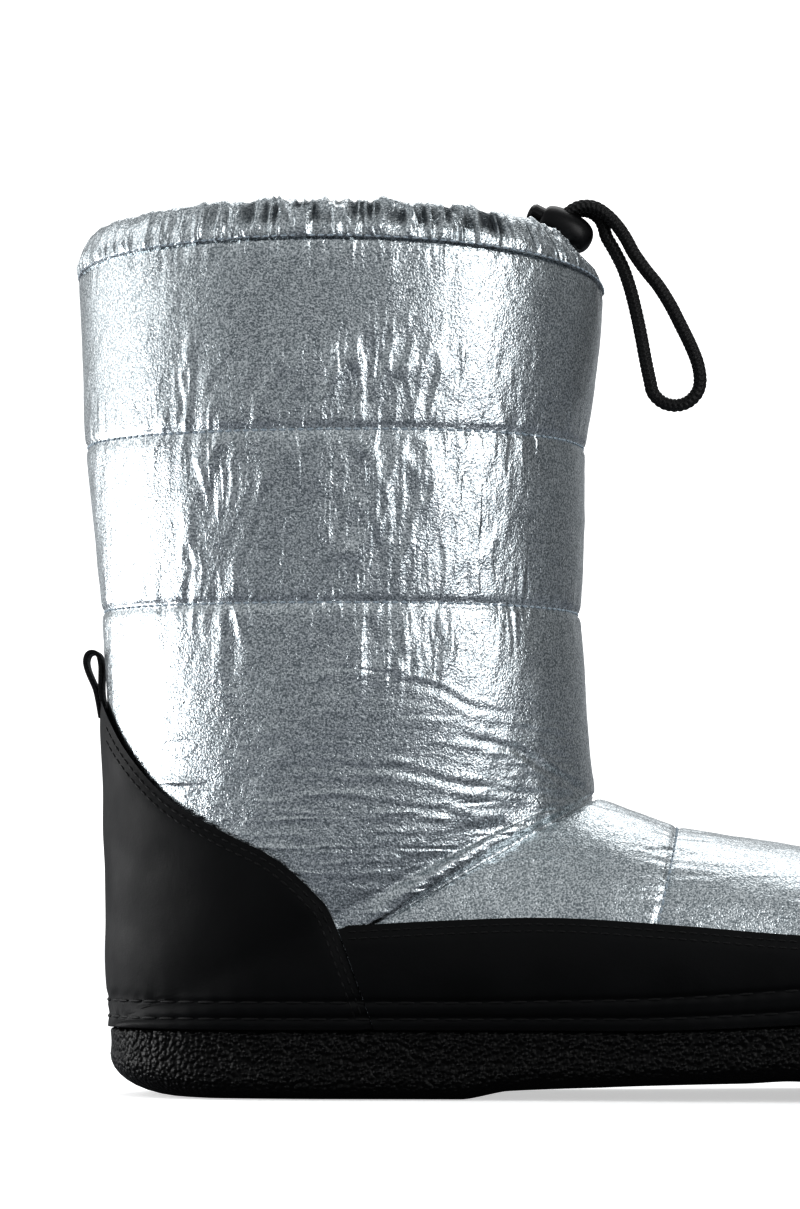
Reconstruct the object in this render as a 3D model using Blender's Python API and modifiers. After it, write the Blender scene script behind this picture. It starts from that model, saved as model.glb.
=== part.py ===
"""Lined padded bootie for the right foot: quilted upper on a moulded rubber sole, with a drawcord collar.

Metres, +Z up, toe towards +X, outer side towards -Y. The floor is z = 0.
Tables are in millimetres, measured from the back of the heel, and MM turns them into metres.
"""

import math
from collections import namedtuple

import bmesh
import bpy
import numpy as np
from mathutils import Matrix, Vector

MM = 0.001

# Driving dimensions
FOOT_LENGTH = 268 * MM
SOLE_SIDE = 18 * MM
TOE_SPRING = 9.5 * MM
SPRING_START = 140 * MM
WALL = 4.5 * MM
STITCH_TUCK = 1.5 * MM
SEAT_GAP = 0.3 * MM
COUNTER_THICK = 2.1 * MM
MUDGUARD_THICK = 1.5 * MM
INSOLE_THICK = 4 * MM
LEATHER_GAP = 0.45 * MM
CORD = 3.6 * MM

# The upper's lower edge stands this far inside the sole's outline, under the leather
FEATHER_INSET = MUDGUARD_THICK + SEAT_GAP
INSOLE_INSET = FEATHER_INSET + WALL + 1.5 * MM

# Sole outline, heel to toe: distance from the heel, outer and inner half width
SoleRow = namedtuple("SoleRow", "along outer inner")
SOLE_OUTLINE = [
    SoleRow(4, 17, 17),
    SoleRow(13, 28, 27.5),
    SoleRow(27, 35, 34),
    SoleRow(48, 38, 36.5),
    SoleRow(74, 38.5, 35.5),
    SoleRow(104, 39.5, 33.5),
    SoleRow(134, 43, 35.5),
    SoleRow(162, 47, 40.5),
    SoleRow(187, 49, 46),
    SoleRow(209, 48, 48.5),
    SoleRow(229, 43, 47.5),
    SoleRow(246, 33, 42),
    SoleRow(258, 20, 33),
    SoleRow(265.5, 6, 20),
]
TOE_TIP_INWARD = 7.5

# Sections of the last from the toe edge, over the vamp and the ankle, to the collar seam.
# A section runs from its front point on the ridge to its back point, on the sole's edge where back_z is 0
# and on the back of the heel above it. mid and half place its width, widest is the share of its length
# where it is widest, front_round and back_round square its two ends, and bow lifts its middle.
Section = namedtuple("Section", "front_x front_z back_x back_z mid half widest front_round back_round bow")
LAST = [
    Section(265.6, 27.6, 254, 0, 6.0, 28.5, 0.98, 2.2, 2.0, 0),
    Section(264.2, 35.0, 248, 0, 5.5, 34.0, 0.85, 2.2, 2.0, 0),
    Section(259.5, 44.0, 240, 0, 4.5, 40.0, 0.75, 2.3, 2.0, 0),
    Section(250.0, 51.5, 229, 0, 3.0, 45.5, 0.70, 2.3, 2.0, 0),
    Section(236.0, 57.0, 214, 0, 1.5, 48.5, 0.67, 2.3, 2.0, 0),
    Section(219.0, 61.0, 198, 0, 0.0, 49.5, 0.65, 2.2, 2.0, 0),
    Section(202.0, 64.6, 184, 0, -1.0, 49.0, 0.64, 2.2, 2.0, 0),
    Section(185.0, 67.8, 170, 0, -1.5, 47.5, 0.63, 2.2, 2.0, 0),
    Section(169.0, 70.3, 156, 0, -2.5, 46.0, 0.63, 2.2, 2.0, 0),
    Section(155.0, 72.8, 142, 0, -3.0, 44.5, 0.63, 2.2, 2.0, 0),
    Section(144.0, 76.6, 122, 0, -3.0, 43.0, 0.62, 2.2, 2.0, 0),
    Section(138.5, 78.8, 96, 0, -2.5, 41.5, 0.62, 2.2, 2.0, 0),
    Section(135.0, 80.2, 64, 0, -1.8, 40.8, 0.60, 2.2, 2.0, 0),
    Section(132.6, 81.0, 27, 0, -1.0, 41.0, 0.56, 2.2, 2.1, 0),
    Section(132.4, 82.2, 14, 0, -0.6, 41.4, 0.54, 2.2, 2.1, 0),
    Section(132.3, 83.4, 6.6, 0, -0.3, 41.8, 0.53, 2.2, 2.1, 0),
    Section(132.2, 84.4, 3.0, 0, -0.1, 42.2, 0.52, 2.2, 2.1, 0),
    Section(132.1, 85.2, 1.8, 0, 0.0, 42.7, 0.51, 2.2, 2.1, 0),
    Section(131.9, 87.2, 1.0, 32, 0.0, 44.4, 0.49, 2.2, 2.1, 0),
    Section(131.5, 91.0, 0.8, 52, 0.0, 45.8, 0.47, 2.2, 2.1, 0),
    Section(131.0, 96.5, 0.4, 76, 0.0, 47.0, 0.45, 2.2, 2.1, 0),
    Section(130.4, 105.0, -0.6, 98, 0.0, 48.4, 0.43, 2.2, 2.1, 0),
    Section(129.8, 117.0, -1.9, 116, 0.0, 49.2, 0.42, 2.2, 2.1, 0),
    Section(128.8, 130.6, -3.0, 131.4, 0.0, 50.0, 0.42, 2.2, 2.1, 0),
    Section(129.6, 146.0, -4.4, 146.4, 0.0, 51.2, 0.42, 2.2, 2.1, 0),
    Section(130.0, 162.0, -6.0, 162.0, 0.0, 52.6, 0.42, 2.2, 2.1, 0),
    Section(130.2, 176.2, -7.6, 176.8, 0.0, 53.6, 0.42, 2.2, 2.1, 0),
    Section(132.4, 191.0, -8.2, 192.0, 0.0, 54.6, 0.42, 2.2, 2.1, 1),
    Section(134.4, 206.0, -8.8, 208.5, 0.0, 55.6, 0.42, 2.2, 2.1, 3),
    Section(135.4, 219.6, -9.6, 223.4, 0.0, 56.4, 0.42, 2.2, 2.1, 6),
]
VAMP_STITCH_ROW, ANKLE_SEAM_ROW, LOWER_STITCH_ROW, UPPER_STITCH_ROW = 9, 13, 23, 26
STITCH_ROWS = (VAMP_STITCH_ROW, ANKLE_SEAM_ROW, LOWER_STITCH_ROW, UPPER_STITCH_ROW)
COLLAR_ROW = len(LAST) - 1
HEEL_EDGE_ROW = max(i for i, row in enumerate(LAST) if row.back_z == 0)
UPPER_ROWS = sorted({*range(len(LAST)), *(row + half for row in STITCH_ROWS for half in (-0.5, 0.5))})
AROUND_STEPS = 32

# Edges of the leather in side view, as along, height
Edge = namedtuple("Edge", "along height")
COUNTER_EDGE = [
    Edge(-3, 108),
    Edge(6, 93),
    Edge(18.4, 80),
    Edge(33.4, 71),
    Edge(47.6, 63.8),
    Edge(58.4, 54.5),
    Edge(64, 45.9),
    Edge(76, 12),
]
MUDGUARD_EDGE = [
    Edge(50, 45),
    Edge(95, 47.4),
    Edge(123, 48),
    Edge(155, 46),
    Edge(187, 43.5),
    Edge(225, 42.5),
    Edge(280, 44),
]

# Bottom of the sole at its flat middle, heel to toe
BOTTOM_LINE = [
    Edge(0, 0),
    Edge(60, 0),
    Edge(97, 0),
    Edge(108, 2.2),
    Edge(133, 3.3),
    Edge(150, 4.0),
    Edge(170, 4.5),
    Edge(188, 4.8),
    Edge(204, 0),
    Edge(212, 0),
    Edge(226, 0),
    Edge(268, 10),
]

# Rounding under the sole's edge, by distance from the heel: how high up and how far in it reaches
Rounding = namedtuple("Rounding", "along up inward")
SOLE_ROUNDING = [
    Rounding(0, 11, 19),
    Rounding(28, 6, 8),
    Rounding(60, 5, 6),
    Rounding(150, 5, 8),
    Rounding(200, 6, 13),
    Rounding(268, 7, 15),
]
ROUNDING_STEPS = 4
SOLE_LIP = 1.4 * MM
SOLE_LIP_IN = 0.7 * MM
OUTLINE_STEPS = 56

# Drawcord casing: height and inward lean of the tunnel at the back, the sides and the front of the collar
Casing = namedtuple("Casing", "share height lean")
CASING = [
    Casing(0.0, 13.0, 13.0),
    Casing(0.05, 12.9, 12.6),
    Casing(0.15, 11.2, 8.0),
    Casing(0.3, 10.0, 3.6),
    Casing(0.6, 10.0, 2.8),
    Casing(1.0, 10.4, 2.2),
]
# Its cross-section, from the outer foot over the top to the inner foot: share of the wall, share of the height
CASING_PROFILE = [(0, 0), (-0.14, 0.3), (-0.1, 0.62), (0.12, 0.9), (0.42, 1), (0.76, 0.88), (0.98, 0.55), (1, 0.08)]

# Cord lock: a small oval barrel that lies on the front of the collar, with a plunger in its upper end.
# Along its own axis it is measured from its middle; its width is across the boot.
Oval = namedtuple("Oval", "at width height")
LOCK_CENTRE = Vector((125.2, 0, 237.0)) * MM
LOCK_PITCH = math.radians(27)
LOCK_BODY = [
    Oval(7.5, 9.5, 6.5),
    Oval(6.6, 12.5, 9.2),
    Oval(3.0, 14.0, 10.5),
    Oval(-3.0, 14.0, 10.5),
    Oval(-6.8, 13.0, 9.6),
    Oval(-7.5, 12.0, 8.6),
]
LOCK_BORE = [Oval(5.7, 10.4, 6.6), Oval(-9, 10.4, 6.6)]
PLUNGER = [
    Oval(3.2, 9.8, 6.0),
    Oval(-10.4, 9.8, 6.0),
    Oval(-11.2, 8.8, 5.0),
    Oval(-11.5, 7.4, 3.6),
]
PLUNGER_TRAVEL = 2.2 * MM
CORD_HOLE_AT = -2.0 * MM
STRAND_PITCH = 4.1 * MM
HOLE_CLEARANCE = 0.3 * MM
OVAL_STEPS = 28

# Drawcord route round the hanging loop, between the two strands that run up through the lock
LOOP_ROUTE = [
    (127.6, -1.4, 245.4),
    (131.6, -0.2, 243.6),
    (137.2, 0.8, 239.4),
    (141.4, 1.0, 234.4),
    (144.6, 1.0, 229.2),
    (149.3, 1.0, 223.8),
    (154.2, 1.0, 217.1),
    (158.1, 1.0, 210.0),
    (160.6, 1.0, 202.8),
    (161.0, 1.0, 194.6),
    (159.2, 1.0, 190.0),
    (155.9, 1.0, 188.3),
    (152.2, 1.2, 189.9),
    (148.9, 1.6, 194.6),
    (146.3, 2.4, 202.8),
    (144.1, 3.4, 212.5),
    (141.6, 4.6, 221.6),
    (139.1, 5.8, 227.4),
    (135.8, 7.0, 232.8),
    (132.6, 7.8, 237.6),
    (130.0, 6.6, 242.2),
    (127.8, 4.4, 244.4),
]
CORD_POINTS = 64

# Heel pull: a narrow folded strap sewn over the top of the counter, as along, height
PULL_WIDTH = 9 * MM
PULL_STRAP = 1.2 * MM
PULL_ROUTE = [
    Edge(-4.4, 102.5),
    Edge(-4.6, 106),
    Edge(-4.75, 109.2),
    Edge(-4.4, 111.8),
    Edge(-3.6, 114.4),
    Edge(-3.35, 117.2),
    Edge(-3.6, 119.6),
    Edge(-4.7, 121.2),
    Edge(-6.2, 121),
    Edge(-7.4, 119.2),
    Edge(-7.6, 116.6),
    Edge(-7.0, 113.4),
    Edge(-6.4, 110.8),
    Edge(-6.3, 108.6),
    Edge(-6.15, 106),
    Edge(-5.95, 102.5),
]
PULL_STEPS = 44


def catmull_rom(values, at):
    """Smooth value at a fractional row of a table."""
    values = np.asarray(values, float)
    last = len(values) - 1
    at = np.clip(np.asarray(at, float), 0, last)
    low = np.minimum(at.astype(int), last - 1)
    step = (at - low)[..., None] if values.ndim > 1 else at - low
    before, start, end, after = (values[np.clip(low + k, 0, last)] for k in (-1, 0, 1, 2))
    slope_start, slope_end = (end - before) / 2, (after - start) / 2
    squared, cubed = step**2, step**3
    return (
        (2 * cubed - 3 * squared + 1) * start
        + (cubed - 2 * squared + step) * slope_start
        + (3 * squared - 2 * cubed) * end
        + (cubed - squared) * slope_end
    )


def smooth_polyline(points, count):
    """The smooth curve through a few points, as evenly spaced points."""
    fine = catmull_rom(points, np.linspace(0, len(points) - 1, 40 * len(points)))
    travelled = np.concatenate([[0], np.cumsum(np.linalg.norm(np.diff(fine, axis=0), axis=1))])
    wanted = np.linspace(0, travelled[-1], count)
    return np.stack([np.interp(wanted, travelled, fine[:, axis]) for axis in range(fine.shape[1])], axis=1)


def sole_outline(inset, count=OUTLINE_STEPS, then=0.0):
    """Closed outline of the sole seen from above, from the heel along the outer side, set in by a distance.

    then moves the finished points in by a further distance, without spacing them again.
    """
    outer = [(row.along, -row.outer) for row in SOLE_OUTLINE]
    inner = [(row.along, row.inner) for row in reversed(SOLE_OUTLINE)]
    toe = (FOOT_LENGTH / MM, TOE_TIP_INWARD)
    loop = [inner[-1], (0, 0), *outer, toe, *inner, (0, 0), outer[0]]
    fine = catmull_rom(np.array(loop) * MM, np.linspace(1, len(loop) - 2, 40 * len(loop)))[:-1]
    tangent = np.roll(fine, -1, axis=0) - np.roll(fine, 1, axis=0)
    inward = np.stack([-tangent[:, 1], tangent[:, 0]], axis=1)
    unit = inward / np.linalg.norm(inward, axis=1)[:, None]
    moved = fine + inset * unit
    closed = np.vstack([moved, moved[:1]])
    travelled = np.concatenate([[0], np.cumsum(np.linalg.norm(np.diff(closed, axis=0), axis=1))])
    wanted = np.linspace(0, travelled[-1], count + 1)[:-1]
    closed = np.vstack([moved + then * unit, (moved + then * unit)[:1]])
    return np.stack([np.interp(wanted, travelled, closed[:, axis]) for axis in range(2)], axis=1)


def table_curve(rows, along):
    """Height from an edge table at distances from the heel, in metres."""
    places = np.array([row[0] for row in rows]) * MM
    heights = np.array([row[1] for row in rows]) * MM
    at = np.interp(along, places, np.arange(len(rows)))
    return np.maximum(catmull_rom(heights, at), 0)


def sole_top(along):
    """Height of the ledge that the upper stands on: level at the heel, rising with the toe spring."""
    share = np.clip((along - SPRING_START) / (FOOT_LENGTH - SPRING_START), 0, None)
    return SOLE_SIDE + TOE_SPRING * share**1.6


def section_table():
    """The sections in metres, with the sole's edge filled in and the stitched rows pulled in."""
    rows = np.array(LAST, float)
    rows[:, [0, 1, 2, 3, 4, 5, 9]] *= MM
    on_edge = rows[:, 3] == 0
    rows[on_edge, 3] = sole_top(rows[on_edge, 2]) + SEAT_GAP
    return rows


def edge_point(along, side, inset):
    """Point of the upper's lower edge on one side of the boot, moved in by a distance."""
    edge = sole_outline(FEATHER_INSET, 720)
    moved = sole_outline(FEATHER_INSET, 720, inset)
    toe = edge[:, 0].argmax()
    half = slice(None, toe + 1) if side < 0 else slice(None, toe - 1, -1)
    return [np.interp(along, edge[half][:, 0], moved[half][:, axis]) for axis in range(2)]


def section_side(row, half, end_half, length, shares):
    """One side of a section: place along it and sideways reach, evenly spaced from the ridge to its end."""
    turn = np.linspace(0, math.pi, 400)
    cosine, sine = np.abs(np.cos(turn)), np.sin(turn).clip(0)
    ahead = turn <= math.pi / 2
    power = 2 / np.where(ahead, row.front_round, row.back_round)
    place = row.widest + np.where(ahead, -row.widest, 1 - row.widest) * cosine**power
    power = power * np.where(ahead, 1, 1 + end_half / half)
    reach = np.where(ahead, 0, end_half) + np.where(ahead, half, half - end_half) * sine**power
    travelled = np.concatenate([[0], np.cumsum(np.hypot(np.diff(place) * length, np.diff(reach)))])
    wanted = shares * travelled[-1]
    return np.interp(wanted, travelled, place), np.interp(wanted, travelled, reach)


def upper_grid(rows, steps, inset=0.0, tuck_rows=()):
    """Points of the upper's outside, or of a form inside it by inset: a line for each section of the last.

    A line runs from the section's outer end over the ridge to its inner end.
    """
    table = section_table()
    shares = np.linspace(0, 1, steps // 2 + 1)
    grid = []
    for at in rows:
        row = Section(*catmull_rom(table, at))
        depth = inset + (STITCH_TUCK if at in tuck_rows else 0.0)
        front, back = np.array([row.front_x, row.front_z]), np.array([row.back_x, row.back_z])
        lengthways = (back - front) / np.linalg.norm(back - front)
        lift = row.bow * np.sin(math.pi * shares)
        sides = []
        for side in (-1, 1):
            if at > HEEL_EDGE_ROW:
                end, end_half = back - lengthways * depth, 0.0
            else:
                along, across = edge_point(row.back_x, side, inset)
                end, end_half = np.array([along, row.back_z]), side * (across - row.mid)
            start = front + lengthways * depth
            length = np.linalg.norm(end - start)
            place, reach = section_side(row, row.half - depth, end_half, length, shares)
            line = start + (end - start) * place[:, None]
            sides.append(np.column_stack([line[:, 0], row.mid + side * reach, line[:, 1] + lift]))
        grid.append(np.vstack([sides[0][::-1], sides[1][1:]]))
    return np.array(grid)


def new_object(name, bm, material, collection):
    """A finished bmesh as a named object with its material, shaded smooth up to a sharp angle."""
    mesh = bpy.data.meshes.new(name)
    bm.to_mesh(mesh)
    bm.free()
    mesh.shade_smooth()
    mesh.set_sharp_from_angle(angle=math.radians(35))
    obj = bpy.data.objects.new(name, mesh)
    collection.objects.link(obj)
    if material:
        mesh.materials.append(material)
    return obj


def material(name, colour, roughness, metallic=0.0):
    made = bpy.data.materials.new(name)
    made.use_nodes = True
    shader = made.node_tree.nodes["Principled BSDF"]
    shader.inputs["Base Color"].default_value = (*colour, 1)
    shader.inputs["Roughness"].default_value = roughness
    shader.inputs["Metallic"].default_value = metallic
    return made


def ring(bm, points):
    """A closed loop of edges through points."""
    verts = [bm.verts.new(point) for point in points]
    return [bm.edges.new((verts[i - 1], verts[i])) for i in range(len(verts))]


def bridge(bm, loops):
    """Skins a row of edge loops, one after another."""
    for first, second in zip(loops, loops[1:]):
        bmesh.ops.bridge_loops(bm, edges=first + second)


def cap_across(bm, loop):
    """Closes a loop that is symmetric about its length with quads from side to side."""
    verts = [edge.verts for edge in loop]
    around = [pair[1] for pair in verts]
    count = len(around)
    for k in range(count // 2 - 1):
        left, right = (around[k], around[k + 1]), (around[-k - 1], around[-k - 2])
        corners = list(dict.fromkeys((left[0], left[1], right[1], right[0])))
        bm.faces.new(corners)


def as_cutter(obj):
    """Marks an object that only shapes others."""
    obj.hide_render = True
    obj.display_type = "WIRE"
    return obj


def modifier(obj, kind, **settings):
    made = obj.modifiers.new(kind.title(), kind)
    for key, value in settings.items():
        setattr(made, key, value)
    return made


def add_sheet(bm, grid, wanted, welded):
    """A grid of points as a sheet of triangles, without the quads that aren't wanted.

    The rows marked as welded join up at the back of the heel. Returns the vertices in the grid's order.
    """
    rows, columns = grid.shape[:2]
    verts = bmesh.ops.create_grid(bm, x_segments=columns - 1, y_segments=rows - 1, size=1)["verts"]
    for vert, point in zip(verts, grid.reshape(-1, 3)):
        vert.co = point
    number = {vert: k for k, vert in enumerate(verts)}
    faces = {face: min(number[vert] for vert in face.verts) for vert in verts for face in vert.link_faces}
    spare = [face for face, corner in faces.items() if not wanted[divmod(corner, columns)]]
    kept = {face: corner % columns for face, corner in faces.items() if wanted[divmod(corner, columns)]}
    outer = [face for face, column in kept.items() if column < columns // 2]
    inner = [face for face, column in kept.items() if column >= columns // 2]
    bmesh.ops.triangulate(bm, faces=outer, quad_method="FIXED")
    bmesh.ops.triangulate(bm, faces=inner, quad_method="ALTERNATE")
    bmesh.ops.delete(bm, geom=spare, context="FACES_ONLY")
    for row in np.flatnonzero(welded):
        first, last = row * columns, (row + 1) * columns - 1
        bmesh.ops.weld_verts(bm, targetmap={verts[last]: verts[first]})
        verts[last] = verts[first]
    return verts


def upper_shell(name, rows, insets, shell_material, collection, tuck_rows=(), box=None):
    """A wall between two forms of the upper, an outer and an inner one, closed along its open edges.

    box is the low and high corner, in side view, of the part of the upper that is wanted.
    """
    base = upper_grid(rows, AROUND_STEPS)
    centres = (base[:-1, :-1] + base[1:, :-1] + base[:-1, 1:] + base[1:, 1:]) / 4
    low, high = box if box else (centres.min(axis=(0, 1)), centres.max(axis=(0, 1)))
    wanted = ((centres >= low) & (centres <= high))[..., [0, 2]].all(axis=-1)
    welded = np.array(rows) >= HEEL_EDGE_ROW
    bm = bmesh.new()
    outer, inner = (
        add_sheet(bm, upper_grid(rows, AROUND_STEPS, inset, tuck_rows), wanted, welded) for inset in insets
    )
    partner = dict(zip(outer, inner))
    for edge in [edge for edge in bm.edges if edge.is_boundary and edge.verts[0] in partner]:
        first, second = edge.verts
        bm.faces.new((first, second, partner[second], partner[first]))
    loose = [vert for vert in bm.verts if not vert.link_faces]
    bmesh.ops.delete(bm, geom=loose, context="VERTS")
    bmesh.ops.recalc_face_normals(bm, faces=bm.faces)
    return new_object(name, bm, shell_material, collection)


def make_upper(silver, collection):
    """Quilted upper: one hollow wall, open at the collar and over the sole, tucked in along its stitched lines."""
    return upper_shell("upper", UPPER_ROWS, (0.0, WALL), silver, collection, STITCH_ROWS)


def side_prism(name, outline, collection):
    """A cutter: an outline in side view, extruded right across the boot."""
    bm = bmesh.new()
    across = 80 * MM
    verts = [bm.verts.new((along, -across, height)) for along, height in outline]
    face = bm.faces.new(verts)
    made = bmesh.ops.extrude_face_region(bm, geom=[face])
    moved = [item for item in made["geom"] if isinstance(item, bmesh.types.BMVert)]
    bmesh.ops.translate(bm, verts=moved, vec=(0, 2 * across, 0))
    bmesh.ops.recalc_face_normals(bm, faces=bm.faces)
    return as_cutter(new_object(name, bm, None, collection))


def ledge_line(start, end):
    """Points just above the sole's ledge, from one distance from the heel to another."""
    return [(along, float(sole_top(along)) + LEATHER_GAP) for along in np.linspace(start, end, 24)]


def counter_edge():
    """The counter's front edge in side view, from its top at the heel down to the ledge."""
    edge = smooth_polyline(np.array(COUNTER_EDGE) * MM, 40)
    ledge = SOLE_SIDE + LEATHER_GAP
    foot = (float(np.interp(ledge, edge[::-1, 1], edge[::-1, 0])), ledge)
    return np.array([*edge[edge[:, 1] > ledge], foot])


def counter_outline():
    edge = counter_edge()
    behind = -20 * MM
    return [(behind, edge[0][1]), *map(tuple, edge), (behind, edge[-1][1])]


def mudguard_outline():
    """The strip under the vamp, from just ahead of the counter's front edge round the toe."""
    front = 290 * MM
    top = smooth_polyline(np.array(MUDGUARD_EDGE) * MM, 40)
    start = counter_edge() + np.array([SEAT_GAP, 0])
    start = start[start[:, 1] < top[0][1]]
    top = top[top[:, 0] > start[0][0] + 1 * MM]
    return [*map(tuple, start[::-1]), *map(tuple, top), *ledge_line(front, start[-1][0] + 1 * MM)]


def make_overlay(name, outline, thickness, leather, collection, cutters):
    """A leather overlay: a shell just outside the upper's own surface, cut to its outline in side view."""
    rows = [row for row in UPPER_ROWS if row <= LOWER_STITCH_ROW]
    reach = np.array(outline)
    margin = 12 * MM
    low = (reach[:, 0].min() - margin, 0, 0)
    high = (reach[:, 0].max() + margin, 0, reach[:, 1].max() + margin)
    insets = (-LEATHER_GAP - thickness, -LEATHER_GAP)
    overlay = upper_shell(name, rows, insets, leather, collection, (), (low, high))
    cutter = side_prism(name + "_outline", outline, cutters)
    modifier(overlay, "BOOLEAN", operation="INTERSECT", object=cutter, solver="EXACT")
    return overlay


def rounding_at(along):
    places = np.array([row.along for row in SOLE_ROUNDING]) * MM
    up = np.interp(along, places, [row.up * MM for row in SOLE_ROUNDING])
    inward = np.interp(along, places, [row.inward * MM for row in SOLE_ROUNDING])
    return up, inward


def make_outsole(rubber, collection):
    """Moulded sole unit: a lipped side, a rounded lower edge, a heel tread and a ball tread with the arch between."""
    outline = sole_outline(0)
    inner = sole_outline(1 * MM)
    inward = (inner - outline) / (1 * MM)
    along = outline[:, 0]
    top, floor = sole_top(along), table_curve(BOTTOM_LINE, along)
    up, reach = rounding_at(along)
    bm = bmesh.new()
    loops = []

    def add_loop(inset, height):
        flat = outline + inward * np.broadcast_to(inset, along.shape)[:, None]
        height = height(flat[:, 0]) if callable(height) else height
        loops.append(ring(bm, np.column_stack([flat, height])))

    add_loop(SOLE_LIP_IN, sole_top)
    add_loop(0, top - SOLE_LIP)
    for angle in np.linspace(0, math.pi / 2, ROUNDING_STEPS):
        add_loop(reach * (1 - math.cos(angle)), floor + up * (1 - math.sin(angle)))
    bridge(bm, loops)
    cap_across(bm, loops[0])
    cap_across(bm, loops[-1])
    bmesh.ops.recalc_face_normals(bm, faces=bm.faces)
    return new_object("outsole", bm, rubber, collection)


def make_insole(felt, collection):
    """Footbed that lies on the sole inside the upper."""
    outline = sole_outline(INSOLE_INSET)
    bm = bmesh.new()
    low = sole_top(outline[:, 0]) + SEAT_GAP
    loops = [
        ring(bm, np.column_stack([outline, low])),
        ring(bm, np.column_stack([outline, low + INSOLE_THICK])),
    ]
    bridge(bm, loops)
    for loop in loops:
        cap_across(bm, loop)
    bmesh.ops.recalc_face_normals(bm, faces=bm.faces)
    return new_object("insole", bm, felt, collection)


def make_casing(silver, collection):
    """Drawcord tunnel sewn round the collar: it leans in, most of all at the front where the cord draws it up."""
    ring_points = upper_grid([COLLAR_ROW], AROUND_STEPS)[0][:-1]
    shares = np.abs(np.linspace(-1, 1, AROUND_STEPS + 1)[:-1])
    at = np.interp(shares, [row.share for row in CASING], np.arange(len(CASING)))
    height = catmull_rom([row.height * MM for row in CASING], at)
    lean = catmull_rom([row.lean * MM for row in CASING], at)
    tangent = np.roll(ring_points, -1, axis=0) - np.roll(ring_points, 1, axis=0)
    inward = np.stack([-tangent[:, 1], tangent[:, 0], 0 * tangent[:, 0]], axis=1)
    inward /= np.linalg.norm(inward, axis=1)[:, None]
    upward = np.array([0, 0, 1.0])
    bm = bmesh.new()
    loops = []
    for across, tall in CASING_PROFILE:
        inset = across * WALL + lean * tall
        rise = SEAT_GAP + height * tall
        loops.append(ring(bm, ring_points + inward * inset[:, None] + upward * rise[:, None]))
    bridge(bm, [*loops, loops[0]])
    bmesh.ops.recalc_face_normals(bm, faces=bm.faces)
    return new_object("collar_casing", bm, silver, collection)


def make_pull(webbing, collection):
    """Heel pull: a strap folded into a small loop, its two ends one over the other on the counter."""
    route = smooth_polyline(np.array(PULL_ROUTE) * MM, PULL_STEPS)
    bm = bmesh.new()
    verts = bmesh.ops.create_grid(bm, x_segments=PULL_STEPS - 1, y_segments=1, size=1)["verts"]
    edges = (-PULL_WIDTH / 2, PULL_WIDTH / 2)
    for vert, (across, (along, height)) in zip(verts, ((across, at) for across in edges for at in route)):
        vert.co = (along, across, height)
    pull = new_object("pull_loop", bm, webbing, collection)
    modifier(pull, "SOLIDIFY", thickness=PULL_STRAP, offset=0, use_rim=True)
    return pull


def oval_ring(bm, oval):
    """An oval loop of edges across the lock's axis."""
    turn = np.linspace(0, 2 * math.pi, OVAL_STEPS, endpoint=False)
    across, height = oval.width / 2 * MM * np.cos(turn), oval.height / 2 * MM * np.sin(turn)
    return ring(bm, np.column_stack([np.full(OVAL_STEPS, oval.at * MM), across, height]))


def oval_solid(name, ovals, plastic, collection):
    """A solid through a row of ovals, closed at both ends, set on the lock's axis."""
    bm = bmesh.new()
    loops = [oval_ring(bm, oval) for oval in ovals]
    bridge(bm, loops)
    for loop in (loops[0], loops[-1]):
        bmesh.ops.edgeloop_fill(bm, edges=loop)
    bmesh.ops.recalc_face_normals(bm, faces=bm.faces)
    solid = new_object(name, bm, plastic, collection)
    solid.location = LOCK_CENTRE
    solid.rotation_euler = (0, LOCK_PITCH, 0)
    return solid


def cord_hole(name, low, high, collection):
    """A cutter: the slot for the two strands, through the lock from below, between two places on its axis."""
    radius = CORD / 2 + HOLE_CLEARANCE
    ends = (high - radius, low + radius)
    quarter = np.linspace(0, math.pi / 2, 6)
    points = []
    for turn, (along, side) in enumerate([(ends[0], 1), (ends[1], 1), (ends[1], -1), (ends[0], -1)]):
        for angle in quarter + turn * math.pi / 2:
            across = side * STRAND_PITCH / 2 + radius * math.sin(angle)
            points.append((round(along + radius * math.cos(angle), 7), round(across, 7)))
    points = list(dict.fromkeys(points))
    deep = 12 * MM
    bm = bmesh.new()
    loops = [ring(bm, [(*point, height) for point in points]) for height in (-deep, deep)]
    bridge(bm, loops)
    for loop in loops:
        bmesh.ops.edgeloop_fill(bm, edges=loop)
    bmesh.ops.recalc_face_normals(bm, faces=bm.faces)
    cutter = as_cutter(new_object(name, bm, None, collection))
    cutter.location = LOCK_CENTRE
    cutter.rotation_euler = (0, LOCK_PITCH, 0)
    return cutter


def make_lock(plastic, collection, cutters):
    """Cord lock: an oval barrel, bored for its plunger, and the plunger, both slotted for the two strands."""
    half = CORD / 2 + HOLE_CLEARANCE
    body = oval_solid("lock_body", LOCK_BODY, plastic, collection)
    plunger = oval_solid("lock_plunger", PLUNGER, plastic, collection)
    bore = as_cutter(oval_solid("body_bore", LOCK_BORE, None, cutters))
    body_hole = cord_hole("body_hole", CORD_HOLE_AT - half, CORD_HOLE_AT + half, cutters)
    slot = cord_hole("plunger_slot", CORD_HOLE_AT - half - PLUNGER_TRAVEL, CORD_HOLE_AT + half, cutters)
    modifier(body, "BOOLEAN", operation="DIFFERENCE", object=bore, solver="EXACT")
    modifier(body, "BOOLEAN", operation="DIFFERENCE", object=body_hole, solver="EXACT")
    modifier(plunger, "BOOLEAN", operation="DIFFERENCE", object=slot, solver="EXACT")


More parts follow.
